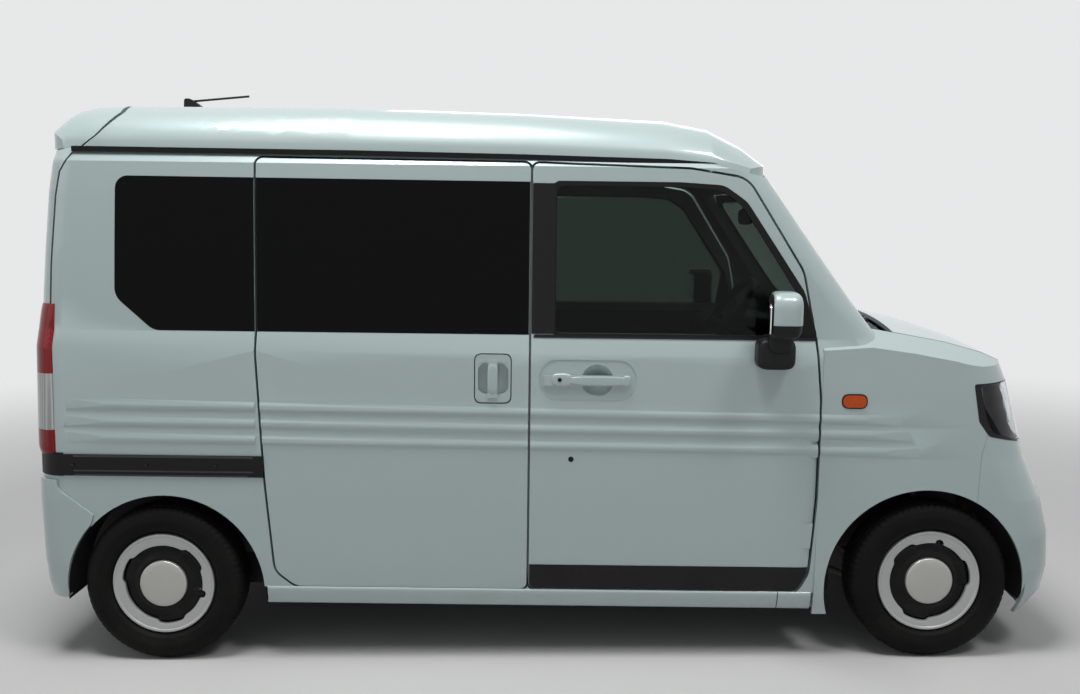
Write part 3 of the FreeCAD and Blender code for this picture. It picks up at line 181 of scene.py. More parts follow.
def joined(*parts):
    # one vertex and face list out of several
    verts, faces, count = [], [], 0
    for v, f in parts:
        verts.append(v.reshape(-1, 3))
        faces += [[k + count for k in face] for face in f]
        count += len(verts[-1])
    return np.concatenate(verts), faces


def linked(name, data):
    # new object in the scene's collection
    obj = bpy.data.objects.new(name, data)
    bpy.context.scene.collection.objects.link(obj)
    return obj


def piece(name, shape, material, body="body_shell", slotName=None, level=True, flip=False, smooth=38):
    # mesh in metres on its body; normals are worked out again so that closed shells face outwards
    verts = np.array(shape[0], float).reshape(-1, 3)
    if flip:
        verts[:, 1] *= -1
    verts = (seated(verts) if level else verts) / 1000
    mesh = bpy.data.meshes.new(name)
    mesh.from_pydata(verts.tolist(), [], shape[1])
    mesh.validate()
    work = bmesh.new()
    work.from_mesh(mesh)
    bmesh.ops.remove_doubles(work, verts=work.verts, dist=weldGap)
    bmesh.ops.recalc_face_normals(work, faces=work.faces)
    work.to_mesh(mesh)
    work.free()
    mesh.shade_smooth()
    mesh.set_sharp_from_angle(angle=math.radians(smooth))
    obj = linked(name, mesh)
    mesh.materials.append(material)
    slotName = slotName or ownSlot[material.name]
    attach(obj, body)
    return obj


def pair(name, shape, material, bodies=shell, slotName=None, **more):
    # the same piece on the right and, mirrored, on the left
    right = piece(name + "Right", shape, material, bodies[0], slotName, **more)
    left = piece(name + "Left", shape, material, bodies[1], slotName, flip=True, **more)
    return right, left


def rounded(points, steps=6):
    # closed outline through (p, q, corner radius) points, each corner an arc of a few steps
    out = []
    for i, (p, q, r) in enumerate(points):
        here = np.array([p, q], float)
        if r <= 0:
            out.append(here[None])
            continue
        a = np.array(points[i - 1][:2], float) - here
        b = np.array(points[(i + 1) % len(points)][:2], float) - here
        la, lb = np.linalg.norm(a), np.linalg.norm(b)
        a, b = a / la, b / lb
        halfAngle = math.acos(np.clip(a @ b, -1, 1)) / 2
        run = min(r / math.tan(halfAngle), 0.49 * la, 0.49 * lb)
        t = np.linspace(0, 1, steps)[:, None]
        out.append((1 - t) ** 2 * (here + a * run) + 2 * t * (1 - t) * here + t ** 2 * (here + b * run))
    return np.concatenate(out)


def boxed(p0, p1, q0, q1, r):
    # outline of a rectangle with rounded corners
    return [(p0, q0, r), (p1, q0, r), (p1, q1, r), (p0, q1, r)]


def even(outline, count):
    # the same closed outline with its points at even steps
    loop = np.vstack([outline, outline[:1]])
    run = np.concatenate([[0], np.cumsum(np.hypot(*np.diff(loop, axis=0).T))])
    at = np.linspace(0, run[-1], count, endpoint=False)
    return np.stack([np.interp(at, run, loop[:, 0]), np.interp(at, run, loop[:, 1])], -1)


def plate(points, surface, lift, thick, count=96, edge=0.06, dome=0.0, rings=6):
    # thin plate lying on a surface: outline shrunk to its middle ring by ring, the top one lift + dome above
    # it, the back one thick below; surface gives a place on the body for (p, q, lift)
    loop = even(rounded(points), count)
    centre = loop.mean(0)
    inwards = np.linspace(1, 0, rings)[1:]
    t = np.concatenate([[1, 1, 1 - edge], np.linspace(1 - edge, 0, rings)[1:]])
    up = np.concatenate([[-thick, lift - thick * 0.3, lift], lift + dome * (1 - inwards ** 2)])
    grid = centre + t[:, None, None] * (loop - centre)[None]
    verts = surface(grid[..., 0], grid[..., 1], up[:, None] + 0 * grid[..., 0])
    return verts, gridFaces(len(t), count, loopCols=True)


def frameBand(outer, inner, surface, lift, thick, count=160):
    # closed band between two outlines on a surface, with a back thick below
    a = even(rounded(outer), count)
    b = even(rounded(inner), count)
    b = np.roll(b, -np.argmin(np.hypot(*(b - a[0]).T)), axis=0)
    grid = np.stack([a, b, b, a])
    up = np.array([lift, lift, lift - thick, lift - thick])[:, None] + np.zeros(count)
    return surface(grid[..., 0], grid[..., 1], up), gridFaces(4, count, loopRows=True, loopCols=True)


def slab(left, right, z, surface, top, thick, count=12):
    # closed slab between two upright edges on a surface; edges and top, its lift, may change with z
    x = left + (right - left) * np.linspace(0, 1, count)[:, None] + 0 * z
    up = top + 0 * x
    return walled(surface(x, z + 0 * x, up), surface(x, z + 0 * x, up - thick))


def revolved(profile, count, centre, axis="y", shift=None):
    # (radius, along) profile turned about an axis; shift adds to the radius by angle and profile place
    prof = np.array(profile, float)
    a = np.linspace(0, 2 * math.pi, count, endpoint=False)
    r = prof[:, 0][:, None] + (0 if shift is None else shift(a[None, :], prof))
    along = prof[:, 1][:, None] + 0 * a[None, :]
    p, q = r * np.cos(a), r * np.sin(a)
    verts = np.stack((p, along, q) if axis == "y" else (along, p, q), -1) + np.array(centre, float)
    return verts, gridFaces(len(prof), count, loopCols=True)


def swept(path, radius, count=10, up=(0, 0, 1), squash=1.0):
    # circle carried along a path; its frame comes from the path's direction and a fixed up
    p = np.array(path, float)
    ahead = np.gradient(p, axis=0)
    ahead /= np.linalg.norm(ahead, axis=1)[:, None]
    side = np.cross(ahead, np.array(up, float))
    side /= np.linalg.norm(side, axis=1)[:, None] + 1e-9
    top = np.cross(side, ahead)
    a = np.linspace(0, 2 * math.pi, count, endpoint=False)
    r = np.broadcast_to(np.asarray(radius, float), (len(p),))[:, None, None]
    ring = side[:, None] * np.cos(a)[None, :, None] + top[:, None] * np.sin(a)[None, :, None] * squash
    ends = [list(range(count))[::-1], [(len(p) - 1) * count + k for k in range(count)]]
    return p[:, None] + ring * r, gridFaces(len(p), count, loopCols=True) + ends


def smoothPath(points, count):
    # Catmull-Rom through a few points, all steps at once
    p = np.array(points, float)
    p = np.vstack([2 * p[0] - p[1], p, 2 * p[-1] - p[-2]])
    t = np.linspace(0, len(p) - 3 - 1e-6, count)
    k = t.astype(int)
    u = (t - k)[:, None]
    a, b, c, d = p[k], p[k + 1], p[k + 2], p[k + 3]
    square = (2 * a - 5 * b + 4 * c - d) * u ** 2
    return 0.5 * (2 * b + (c - a) * u + square + (3 * b - a - 3 * c + d) * u ** 3)


def roundedSquare(power, count):
    # closed curve |x|^n + |z|^n = 1, its points at even steps
    k = np.linspace(0, 2 * math.pi, 720, endpoint=False)
    xz = np.stack([np.cos(k), np.sin(k)], -1)
    return even(np.sign(xz) * np.abs(xz) ** (2 / power), count)


def cushion(size, centre, square=5.0, ends=7.0, rows=56, cols=72, crown=0.0, channels=(), depth=5.0,
            face="z", lean=0.0):
    # rounded square section carried along Y and closed by rounded ends; crown lifts the middle of the broad
    # face, channels press grooves at parts of the width, lean shears x by z
    t = np.sin(np.linspace(-math.pi / 2, math.pi / 2, rows))
    close = (1 - np.abs(t) ** ends) ** (1 / ends)
    loop = roundedSquare(square, cols)
    px = loop[None, :, 0] * close[:, None]
    pz = loop[None, :, 1] * close[:, None]
    half = np.array(size, float) / 2
    x, y, z = px * half[0], (t * half[1])[:, None] + 0 * px, pz * half[2]
    across = px if face == "z" else pz
    soft = 1 - np.clip(np.abs(across), 0, 1) ** 2
    push = crown * soft * (1 - t[:, None] ** 2)
    for c in channels:
        push = push - depth * np.exp(-((np.abs(t[:, None]) - c) / 0.022) ** 2) * np.clip(soft * 3, 0, 1)
    if face == "z":
        z = z + push * (pz > 0)
    else:
        x = x + push * (px > 0)
    verts = np.stack([x + lean * z, y, z], -1) + np.array(centre, float)
    return verts, gridFaces(rows, cols, loopCols=True)


# Materials

def node(tree, kind, values, **settings):
    # new node: its settings first, then numbers and colours go into its inputs, and other sockets are linked
    made = tree.nodes.new("ShaderNode" + kind)
    for key, value in settings.items():
        setattr(made, key, value)
    for key, value in values.items():
        if isinstance(value, (int, float)):
            made.inputs[key].default_value = value
        elif isinstance(value, tuple):
            made.inputs[key].default_value = (*value[:3], 1)
        else:
            tree.links.new(value, made.inputs[key])
    return made


def group(name, inputs, outputs):
    # node group; an input's default tells its kind: nothing for a vector, a tuple for a colour, else a number
    tree = bpy.data.node_groups.new(name, "ShaderNodeTree")
    for label, value in inputs.items():
        kind = "Vector" if value is None else "Color" if isinstance(value, tuple) else "Float"
        socket = tree.interface.new_socket(label, in_out="INPUT", socket_type="NodeSocket" + kind)
        if value is not None:
            socket.default_value = value
    for label, kind in outputs.items():
        tree.interface.new_socket(label, in_out="OUTPUT", socket_type="NodeSocket" + kind)
    return tree, tree.nodes.new("NodeGroupInput").outputs, tree.nodes.new("NodeGroupOutput").inputs


def noise(tree, vector, scale, detail=3.0, rough=0.5):
    # cloud between 0 and 1 over the vector
    values = {"Vector": vector, "Scale": scale, "Detail": detail, "Roughness": rough}
    return node(tree, "TexNoise", values).outputs["Fac"]


def maths(tree, kind, a, b, clamp=False):
    # one step of arithmetic on two numbers or sockets
    return node(tree, "Math", {0: a, 1: b}, operation=kind, use_clamp=clamp).outputs[0]


def mixed(tree, factor, a, b):
    # colour a where the factor is 0, b where it is 1
    return node(tree, "Mix", {0: factor, 6: a, 7: b}, data_type="RGBA").outputs[2]


def ramp(tree, value, low, high):
    # 0 at low and 1 at high, straight between
    return node(tree, "MapRange", {"Value": value, "From Min": low, "From Max": high}).outputs["Result"]


def dustGroup():
    # road film: thick near the ground, broken up by noise; colour goes to dust, roughness rises with the mask
    tree, src, out = group("roadFilm",
                           {"Vector": None, "Color": (0.5, 0.5, 0.5, 1), "Dust": (0.30, 0.27, 0.23, 1),
                            "Amount": 0.3, "Roughness": 0.3},
                           {"Color": "Color", "Roughness": "Float"})
    parts = node(tree, "SeparateXYZ", {0: src["Vector"]})
    low = ramp(tree, parts.outputs[2], 0.62, 0.12)
    cloud = ramp(tree, noise(tree, src["Vector"], 9.0, 5.0, 0.6), 0.35, 0.72)
    mask = maths(tree, "MULTIPLY", maths(tree, "MULTIPLY", low, cloud), src["Amount"], True)
    rougher = maths(tree, "ADD", src["Roughness"], maths(tree, "MULTIPLY", mask, 0.5), True)
    tree.links.new(mixed(tree, mask, src["Color"], src["Dust"]), out["Color"])
    tree.links.new(rougher, out["Roughness"])
    return tree


def toneGroup():
    # slow change of tone over a surface, a few percent lighter and darker
    tree, src, out = group("slowTone",
                           {"Vector": None, "Color": (0.5, 0.5, 0.5, 1), "Scale": 3.0, "Depth": 0.08},
                           {"Color": "Color"})
    slow = node(tree, "TexNoise", {"Vector": src["Vector"], "Scale": src["Scale"], "Detail": 2.0})
    change = maths(tree, "SUBTRACT", slow.outputs["Fac"], 0.5)
    value = maths(tree, "ADD", 1.0, maths(tree, "MULTIPLY", change, src["Depth"]))
    shade = node(tree, "HueSaturation", {"Value": value, "Color": src["Color"]})
    tree.links.new(shade.outputs[0], out["Color"])
    return tree


def grainGroup():
    # moulded grain: small rounded cells with finer noise over them, as a height
    tree, src, out = group("mouldedGrain", {"Vector": None, "Scale": 900.0}, {"Height": "Float"})
    cells = node(tree, "TexVoronoi", {"Vector": src["Vector"], "Scale": src["Scale"]})
    fine = maths(tree, "MULTIPLY", noise(tree, src["Vector"], 2200.0, 2.0), 0.4)
    tree.links.new(maths(tree, "ADD", cells.outputs["Distance"], fine), out["Height"])
    return tree


roadFilm, slowTone, mouldedGrain = dustGroup(), toneGroup(), grainGroup()
ownSlot = {}


def finish(name, slotName, color, rough, metal=0.0, coat=0.0, dust=0.0, tone=(3.0, 0.08), bump=None,
           grain=None, colour=None, **sockets):
    # one Principled shader; tone and dust change its colour over the surface, bump and grain are
    # (scale, strength, distance), and colour puts a pattern in the plain colour's place
    mat = bpy.data.materials.new(name)
    mat.use_nodes = True
    ownSlot[name] = slotName
    tree = mat.node_tree
    shader = tree.nodes["Principled BSDF"]
    vector = tree.nodes.new("ShaderNodeTexCoord").outputs["Object"]
    base = color if colour is None else colour(tree, vector)
    toned = node(tree, "Group", {"Vector": vector, "Color": base, "Scale": tone[0], "Depth": tone[1]},
                 node_tree=slowTone)
    film = {"Vector": vector, "Color": toned.outputs["Color"], "Amount": dust, "Roughness": rough}
    filmed = node(tree, "Group", film, node_tree=roadFilm)
    tree.links.new(filmed.outputs["Color"], shader.inputs["Base Color"])
    tree.links.new(filmed.outputs["Roughness"], shader.inputs["Roughness"])
    shader.inputs["Metallic"].default_value = metal
    shader.inputs["Coat Weight"].default_value = coat
    for key, value in sockets.items():
        shader.inputs[key.replace("_", " ")].default_value = value
    if bump or grain:
        scale, strength, distance = bump or grain
        if grain:
            cells = node(tree, "Group", {"Vector": vector, "Scale": scale}, node_tree=mouldedGrain)
            height = cells.outputs["Height"]
        else:
            height = noise(tree, vector, scale)
        relief = node(tree, "Bump", {"Strength": strength, "Distance": distance, "Height": height})
        tree.links.new(relief.outputs[0], shader.inputs["Normal"])
    return mat


tailLampTone = {"clearFrom": 0.779, "clearTo": 0.962, "ribs": 60.0}  # heights in metres, ribs by scale


def lampColour(tree, vector):
    # red with a clear white band part of the way up, and fine upright ribs
    t = tailLampTone
    height = node(tree, "SeparateXYZ", {0: vector}).outputs[2]
    inside = maths(tree, "MULTIPLY", maths(tree, "GREATER_THAN", height, t["clearFrom"]),
                   maths(tree, "LESS_THAN", height, t["clearTo"]))
    ribs = node(tree, "TexWave", {"Vector": vector, "Scale": t["ribs"]}, bands_direction="Y").outputs["Fac"]
    red = mixed(tree, ribs, (0.16, 0.002, 0.004), (0.28, 0.005, 0.008))
    clear = mixed(tree, ribs, (0.30, 0.31, 0.31), (0.52, 0.53, 0.53))
    return mixed(tree, inside, red, clear)


def clothColour(tree, vector):
    # plain weave: two waves at right angles multiplied
    threads = {"Vector": vector, "Scale": 160.0, "Distortion": 0.6}
    a = node(tree, "TexWave", threads, bands_direction="X").outputs["Fac"]
    b = node(tree, "TexWave", threads, bands_direction="Z").outputs["Fac"]
    return mixed(tree, maths(tree, "MULTIPLY", a, b), (0.030, 0.031, 0.034), (0.085, 0.086, 0.090))


paint = finish("palePaint", "body_paint", (0.375, 0.462, 0.458), 0.34, metal=0.12, coat=0.8, dust=0.12,
    tone=(1.6, 0.05), bump=(260.0, 0.02, 0.0006), Coat_Roughness=0.035)
innerPaint = finish("innerPaint", "body_paint", (0.36, 0.44, 0.445), 0.42, dust=0.6, tone=(4.0, 0.12),
    bump=(120.0, 0.08, 0.001))
floorPaint = finish("floorPaint", "floor_paint", (0.035, 0.040, 0.042), 0.62, dust=0.5, tone=(7.0, 0.25),
    bump=(90.0, 0.25, 0.002))
blackPlastic = finish("blackPlastic", "black_plastic", (0.010, 0.0105, 0.011), 0.45, dust=0.06,
    grain=(1100.0, 0.12, 0.0004), Specular_IOR_Level=0.22)
matteBlack = finish("matteBlack", "black_plastic", (0.007, 0.007, 0.0075), 0.5, dust=0.06,
    grain=(700.0, 0.2, 0.0006), Specular_IOR_Level=0.16)
glossBlack = finish("glossBlack", "black_plastic", (0.0035, 0.0035, 0.004), 0.09, dust=0.03,
    bump=(300.0, 0.02, 0.0005), Specular_IOR_Level=0.26)
railLip = finish("railLip", "black_plastic", (0.022, 0.022, 0.023), 0.32, dust=0.05,
    bump=(300.0, 0.03, 0.0005))
rubberSeal = finish("sealRubber", "black_plastic", (0.006, 0.006, 0.0065), 0.55, dust=0.1,
    bump=(500.0, 0.1, 0.0004), Specular_IOR_Level=0.2)
# front door glass: partly its own green tint, and made far darker than that as painted shade of the dark cabin
# seen through it
shadedDoorGlass = finish("shadedDoorGlass", "clear_glass", (0.13, 0.165, 0.145), 0.0, tone=(2.0, 0.02),
    Transmission_Weight=1.0, IOR=1.22, Specular_IOR_Level=0.22)
clearGlass = finish("paleGlass", "clear_glass", (0.42, 0.50, 0.47), 0.0, tone=(2.0, 0.02),
    Transmission_Weight=1.0, IOR=1.3, Specular_IOR_Level=0.22)
darkGlass = finish("privacyGlass", "privacy_glass", (0.004, 0.0042, 0.0044), 0.02, tone=(2.0, 0.10),
    Transmission_Weight=0.3, IOR=1.2, Specular_IOR_Level=0.3)
tailLens = finish("tailLens", "red_lens", (0.5, 0.02, 0.02), 0.08, dust=0.04, tone=(6.0, 0.12),
    colour=lampColour, Specular_IOR_Level=0.3)
amberLens = finish("amberLens", "amber_lens", (0.50, 0.065, 0.003), 0.12, dust=0.03, tone=(60.0, 0.35),
    bump=(160.0, 0.3, 0.002), Specular_IOR_Level=0.3)
cabinPlastic = finish("cabinPlastic", "cabin_trim", (0.030, 0.031, 0.033), 0.55, tone=(5.0, 0.15),
    grain=(800.0, 0.25, 0.0006))
seatCloth = finish("seatCloth", "seat_cloth", (0.06, 0.06, 0.065), 0.9, tone=(8.0, 0.2),
    bump=(900.0, 0.35, 0.0008), colour=clothColour, Sheen_Weight=0.35)
chassisBlack = finish("chassisBlack", "dark_steel", (0.014, 0.014, 0.015), 0.55, dust=0.5, tone=(14.0, 0.4),
    bump=(200.0, 0.3, 0.001))
exhaustSteel = finish("exhaustSteel", "exhaust_steel", (0.26, 0.24, 0.22), 0.42, metal=0.9, dust=0.8,
    tone=(9.0, 0.5), bump=(150.0, 0.2, 0.001))
castBlock = finish("castBlock", "cast_block", (0.17, 0.17, 0.175), 0.6, metal=0.6, dust=0.7,
    tone=(20.0, 0.4), bump=(140.0, 0.6, 0.002))
tyreRubber = finish("tyreRubber", "tyre_rubber", (0.0035, 0.0035, 0.0036), 0.6, dust=0.03, tone=(22.0, 0.3),
    bump=(420.0, 0.2, 0.0008), Specular_IOR_Level=0.1)
wheelSilver = finish("wheelSilver", "wheel_silver", (0.43, 0.44, 0.435), 0.33, metal=0.6, coat=0.3,
    dust=0.12, tone=(12.0, 0.12), bump=(700.0, 0.04, 0.0004))
capSilver = finish("capSilver", "wheel_silver", (0.46, 0.46, 0.43), 0.30, metal=0.6, coat=0.3, dust=0.1,
    tone=(10.0, 0.1), bump=(900.0, 0.03, 0.0003))
discBlack = finish("discBlack", "wheel_silver", (0.004, 0.004, 0.0045), 0.20, dust=0.03, tone=(15.0, 0.3),
    bump=(320.0, 0.05, 0.0006), Specular_IOR_Level=0.14)
mirrorFace = finish("mirrorFace", "black_plastic", (0.82, 0.84, 0.86), 0.02, metal=1.0, tone=(2.0, 0.02))
bowlBlack = finish("bowlBlack", "lamp_lens", (0.003, 0.003, 0.0035), 0.5, tone=(30.0, 0.2),
    bump=(200.0, 0.05, 0.0004), Specular_IOR_Level=0.2)
brightMetal = finish("brightMetal", "lamp_lens", (0.72, 0.72, 0.73), 0.16, metal=1.0, tone=(20.0, 0.06),
    bump=(260.0, 0.03, 0.0004))
lampClear = finish("lampClear", "lamp_lens", (0.93, 0.95, 0.96), 0.02, tone=(2.0, 0.02),
    Transmission_Weight=1.0, IOR=1.2)
lampWhite = finish("lampWhite", "lamp_lens", (0.80, 0.82, 0.84), 0.25, coat=0.6, tone=(40.0, 0.1),
    bump=(120.0, 0.1, 0.001))
plateWhite = finish("blankPlate", "black_plastic", (0.72, 0.72, 0.70), 0.38, coat=0.3, dust=0.25,
    tone=(10.0, 0.08), bump=(60.0, 0.05, 0.001))

# each CAD node takes the finish of its slot, apart from those named here
slotFinish = {
    "body_paint": paint, "floor_paint": floorPaint, "black_plastic": blackPlastic, "clear_glass": clearGlass,
    "privacy_glass": darkGlass, "lamp_lens": glossBlack, "red_lens": tailLens, "amber_lens": amberLens,
    "cabin_trim": cabinPlastic, "seat_cloth": seatCloth, "dark_steel": chassisBlack,
    "exhaust_steel": exhaustSteel, "cast_block": castBlock, "tyre_rubber": tyreRubber,
    "wheel_silver": wheelSilver,
}
nodeFinish = {
    "front_window_right": shadedDoorGlass, "front_window_left": shadedDoorGlass, "inner_fenders": chassisBlack,
    "rear_panel": innerPaint, "firewall": innerPaint, "slide_rails": glossBlack,
    "roof_mouldings": matteBlack, "cowl": matteBlack, "arch_liners": matteBlack,
    "door_trim_right": glossBlack, "door_trim_left": glossBlack,
}
shading = {"splitAngle": 24, "weight": 55}
slotOf = {part["node"]: part["material_slot"] for part in frame["record"]["subparts"]}
for name, obj in nodes.items():
    for place in obj.material_slots:
        place.material = nodeFinish.get(name, slotFinish.get(slotOf.get(name), blackPlastic))
    # a panel's long triangles shade cleanly once its edges are split and larger faces weigh more
    weld = obj.modifiers.new("weld", "WELD")
    weld.merge_threshold = weldGap
    split = obj.modifiers.new("split", "EDGE_SPLIT")
    split.split_angle = math.radians(shading["splitAngle"])
    weigh = obj.modifiers.new("weigh", "WEIGHTED_NORMAL")
    weigh.weight = shading["weight"]
print("materials done")


# Tyres and wheels

wheelPlaces = {"front_right": (1240.5, -655), "front_left": (1240.5, 655),
               "rear_right": (-1279.5, -655), "rear_left": (-1279.5, 655)}
hubHeight = 260.0
tyreShape = {
    "outer": 259.4, "shoulder": 258.0, "crown": 0.0006, "sides": 432, "blocks": 72,
    "rib": (-38, -13, 13, 38), "groove": 6.5, "grooveTop": 3.6, "grooveFoot": 2.2, "slot": 2.4, "sipe": 2.0,
    # radius, place over the width, from the bead to the shoulder
    "wall": [(169, -50), (176, -59), (186, -66), (192, -66.5), (204, -70.5), (214, -71.5), (222, -71.0),
             (224, -70.0), (232, -69.5), (240, -66.5), (247, -62), (253, -56), (256.5, -50)],
}


def tyreMesh(x, y):
    # bead, bulged sidewall, rounded shoulder and a tread that falls with the square of the width; grooves run
    # round it, slots cross the shoulders and finer ones the ribs between
    t = tyreShape
    tread = []
    for g in t["rib"]:
        tread += [(0, g - t["grooveTop"]), (-t["groove"], g - t["grooveFoot"]),
                  (-t["groove"], g + t["grooveFoot"]), (0, g + t["grooveTop"])]
    tread = [(t["outer"] - t["crown"] * s ** 2 + d, s) for d, s in tread]
    edge = t["shoulder"]
    prof = t["wall"] + [(edge, -46)] + tread + [(edge, 46)] + [(a, -b) for a, b in reversed(t["wall"])]

    def slots(a, p):
        s = p[:, 1][:, None]
        rad = p[:, 0][:, None]
        shoulder = np.clip((np.abs(s) - 40) / 4, 0, 1) * np.clip((rad - 236) / 8, 0, 1)
        middle = np.clip(1 - np.abs(np.abs(s) - 25) / 11, 0, 1)
        wide = np.cos(a * t["blocks"] + s * 0.05) > 0.8
        fine = np.cos(a * t["blocks"] * 2 + 1.1 + s * 0.12) > 0.86
        return -t["slot"] * wide * shoulder - t["sipe"] * fine * middle
    return revolved(prof, t["sides"], (x, y, hubHeight), shift=slots)


wheelShape = {
    "lobes": (12, 132, 252), "lobe": 10.0, "lobeHalf": 19, "lobeSharp": 0.8, "rearTurn": 93,
    "valve": 76, "valveAt": 132, "notch": 14, "notchHalf": 6.5, "raise": 5.0,
    # radius, distance outwards from the wheel's middle plane
    "ring": [(168, 49), (168, 57), (165.5, 60.4), (161, 61), (158.5, 60.2), (157, 58.6), (148, 58.2),
             (138, 57.4), (128, 56.4), (127, 55), (127, 46), (137, 40), (160, 38), (168, 49)],
    "barrel": [(168, 52), (150, 42), (148, -44), (158, -54), (168, -57), (165, -60), (152, -52), (142, -40),
               (142, 38), (160, 38)],
    "dish": [(152, 34), (142, 37), (134, 38), (128, 43), (118, 44.5), (108, 44), (98, 46), (90, 50),
             (84, 52), (79, 52), (60, 50), (0, 50), (0, 20), (64, 20), (88, 24), (128, 26), (152, 29),
             (152, 34)],
    "cap": [(75, 46), (77, 50), (77, 61), (75.5, 63.4), (73, 64.4), (60, 65.6), (40, 66.6), (20, 67.2),
            (0, 67.4), (0, 46), (75, 46)],
}


def lobed(a, turn):
    # three broad lobes and one small notch for the valve, as smooth steps over the angle
    w = wheelShape
    rise = 0
    for c in w["lobes"]:
        d = np.abs((np.degrees(a) + turn - c + 180) % 360 - 180)
        rise = rise + 1 / (1 + np.exp((d - w["lobeHalf"]) * w["lobeSharp"]))
    v = np.abs((np.degrees(a) + turn - w["valve"] + 180) % 360 - 180)
    return w["lobe"] * rise + w["notch"] * np.clip(1 - (v / w["notchHalf"]) ** 2, 0, 1) ** 0.5


def wheelPieces(key, x, y):
    # silver ring with an uneven inner edge, black dished disc with raised lobes, and a plain cap
    w = wheelShape
    s = 1 if y > 0 else -1
    turn = 0 if "front" in key else w["rearTurn"]
    body = "wheel_" + key + "_body"
    c = (x, y, hubHeight)

    def turned(part, count, shift=None):
        return revolved([(r, s * d) for r, d in w[part]], count, c, shift=shift)

    def innerEdge(a, p):
        share = np.clip((150 - p[:, 0]) / 22, 0, 1) * (np.abs(p[:, 1]) > 39)
        return lobed(a, turn) * share[:, None]
    rim = joined(turned("ring", 240, innerEdge), turned("barrel", 96))
    ring = piece(key + "Ring", rim, wheelSilver, body, level=False)
    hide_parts("wheel_" + key)
    verts, faces = turned("dish", 180)
    verts = verts.reshape(-1, 3)
    radius = np.hypot(verts[:, 0] - x, verts[:, 2] - hubHeight)
    angle = np.arctan2(verts[:, 2] - hubHeight, verts[:, 0] - x)
    hill = np.clip(lobed(angle % (2 * math.pi), turn) / w["lobe"], 0, 1) * ((verts[:, 1] - y) * s > 33)
    hill = hill * np.clip((radius - 100) / 8, 0, 1) * np.clip((140 - radius) / 5, 0, 1)
    verts[:, 1] += s * w["raise"] * hill
    piece(key + "Disc", (verts, faces), discBlack, body, level=False)
    piece(key + "Cap", turned("cap", 96), capSilver, body, level=False)
    at = math.radians(w["valve"] - turn)
    stem = [(x + w["valveAt"] * math.cos(at), y + s * k, hubHeight + w["valveAt"] * math.sin(at))
            for k in (36, 42, 50)]
    piece(key + "Valve", swept(stem, (4.2, 4.0, 3.4), 12, up=(1, 0, 0)), blackPlastic, body, "wheel_silver",
          level=False)
    tyre = piece(key + "Tyre", tyreMesh(x, y), tyreRubber, body, level=False, smooth=30)
    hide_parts("tyre_" + key)


for key, (x, y) in wheelPlaces.items():
    wheelPieces(key, x, y)
print("wheels done")


# Side trim: window seals, corner cover, belt seal, blank plug, plate of the pull; outlines are (x, z, radius)

sideTrim = {
    "sash": [(-14, 1074, 12), (838, 1074, 16), (790, 1226, 60), (600, 1508, 80), (526, 1560, 70),
             (384, 1568, 100), (-14, 1568, 14)],
    "opening": [(-4, 1084, 18), (800, 1084, 22), (768, 1216, 60), (584, 1496, 80), (516, 1544, 70),
                (378, 1552, 100), (-4, 1552, 22)],
    "sail": [(742, 1080, 0), (834, 1076, 0), (826, 1112, 0), (788, 1226, 0), (768, 1250, 0)],
    "beltSeal": boxed(-76, 836, 1070, 1080, 0),
    "plug": (51, 678, 9),
    "slidePlate": boxed(-258, -148, 862, 1014, 22),
    "slideHole": boxed(-250, -153, 886, 990, 14),
}


def roundOutline(x, z, r, n=20):
    # outline of a circle
    turns = np.linspace(0, 2 * math.pi, n, endpoint=False)
    return [(x + r * math.cos(k), z + r * math.sin(k), 0) for k in turns]


t = sideTrim
pair("windowSash", frameBand(t["sash"], t["opening"], onSide, 0.6, 5.0), matteBlack, doors)
pair("doorSail", plate(t["sail"], onSide, 1.4, 4.0, count=60), matteBlack, doors)
pair("beltSeal", plate(t["beltSeal"], onSide, 2.6, 4.0, count=120, edge=0.02), rubberSeal, doors)
plug = plate(roundOutline(*t["plug"]), onSide, 1.2, 3.0, count=40, edge=0.2, dome=0.8)
pair("doorPlug", plug, matteBlack, doors)
pair("slideHandlePlate", frameBand(t["slidePlate"], t["slideHole"], onSide, 1.0, 3.0), paint)
print("side trim done")


# Handles: rounded grips over the CAD bars, key cap, and a thin black band of painted shade in the seam round
# the pull's plate

handles = {
    # size, centre, squareness of section and ends, rows, columns
    "doors": {"handleGrip": ((204, 18, 29), (138, -735.5, 935), 3.2, 10, 40, 40),
              "handleCap": ((66, 20, 42), (18, -735.5, 937), 3.4, 5, 30, 40),
              "handleEnd": ((26, 18, 36), (226, -735.5, 935), 3.4, 5, 30, 40)},
    "slideGrip": ((34, 15, 100), (-203.5, -735.0, 937), 3.6, 4, 30, 48),
    "seam": boxed(-263, -143, 857, 1019, 24),
    "seamIn": boxed(-260, -146, 860, 1016, 22),
    "keyhole": (11, -747.0, 938), "keyRadius": 6.5, "keyDeep": 11,
}
h = handles
for name, drawn in h["doors"].items():
    pair(name, cushion(*drawn), paint, doors)
# thin black band round the pull's plate: painted shade of the seam between the plate and the door skin
pair("slidePlateSeamShade", frameBand(h["seam"], h["seamIn"], onSide, 0.5, 1.0), matteBlack)
r, deep = h["keyRadius"], h["keyDeep"]
pair("handleKeyhole", revolved([(0, 0), (r, 0), (r, deep), (0, deep)], 24, h["keyhole"]), matteBlack, doors)
pair("slideGrip", cushion(*h["slideGrip"]), paint)
print("handles done")


# Door mirrors: black housing, painted cap, glass towards the driver

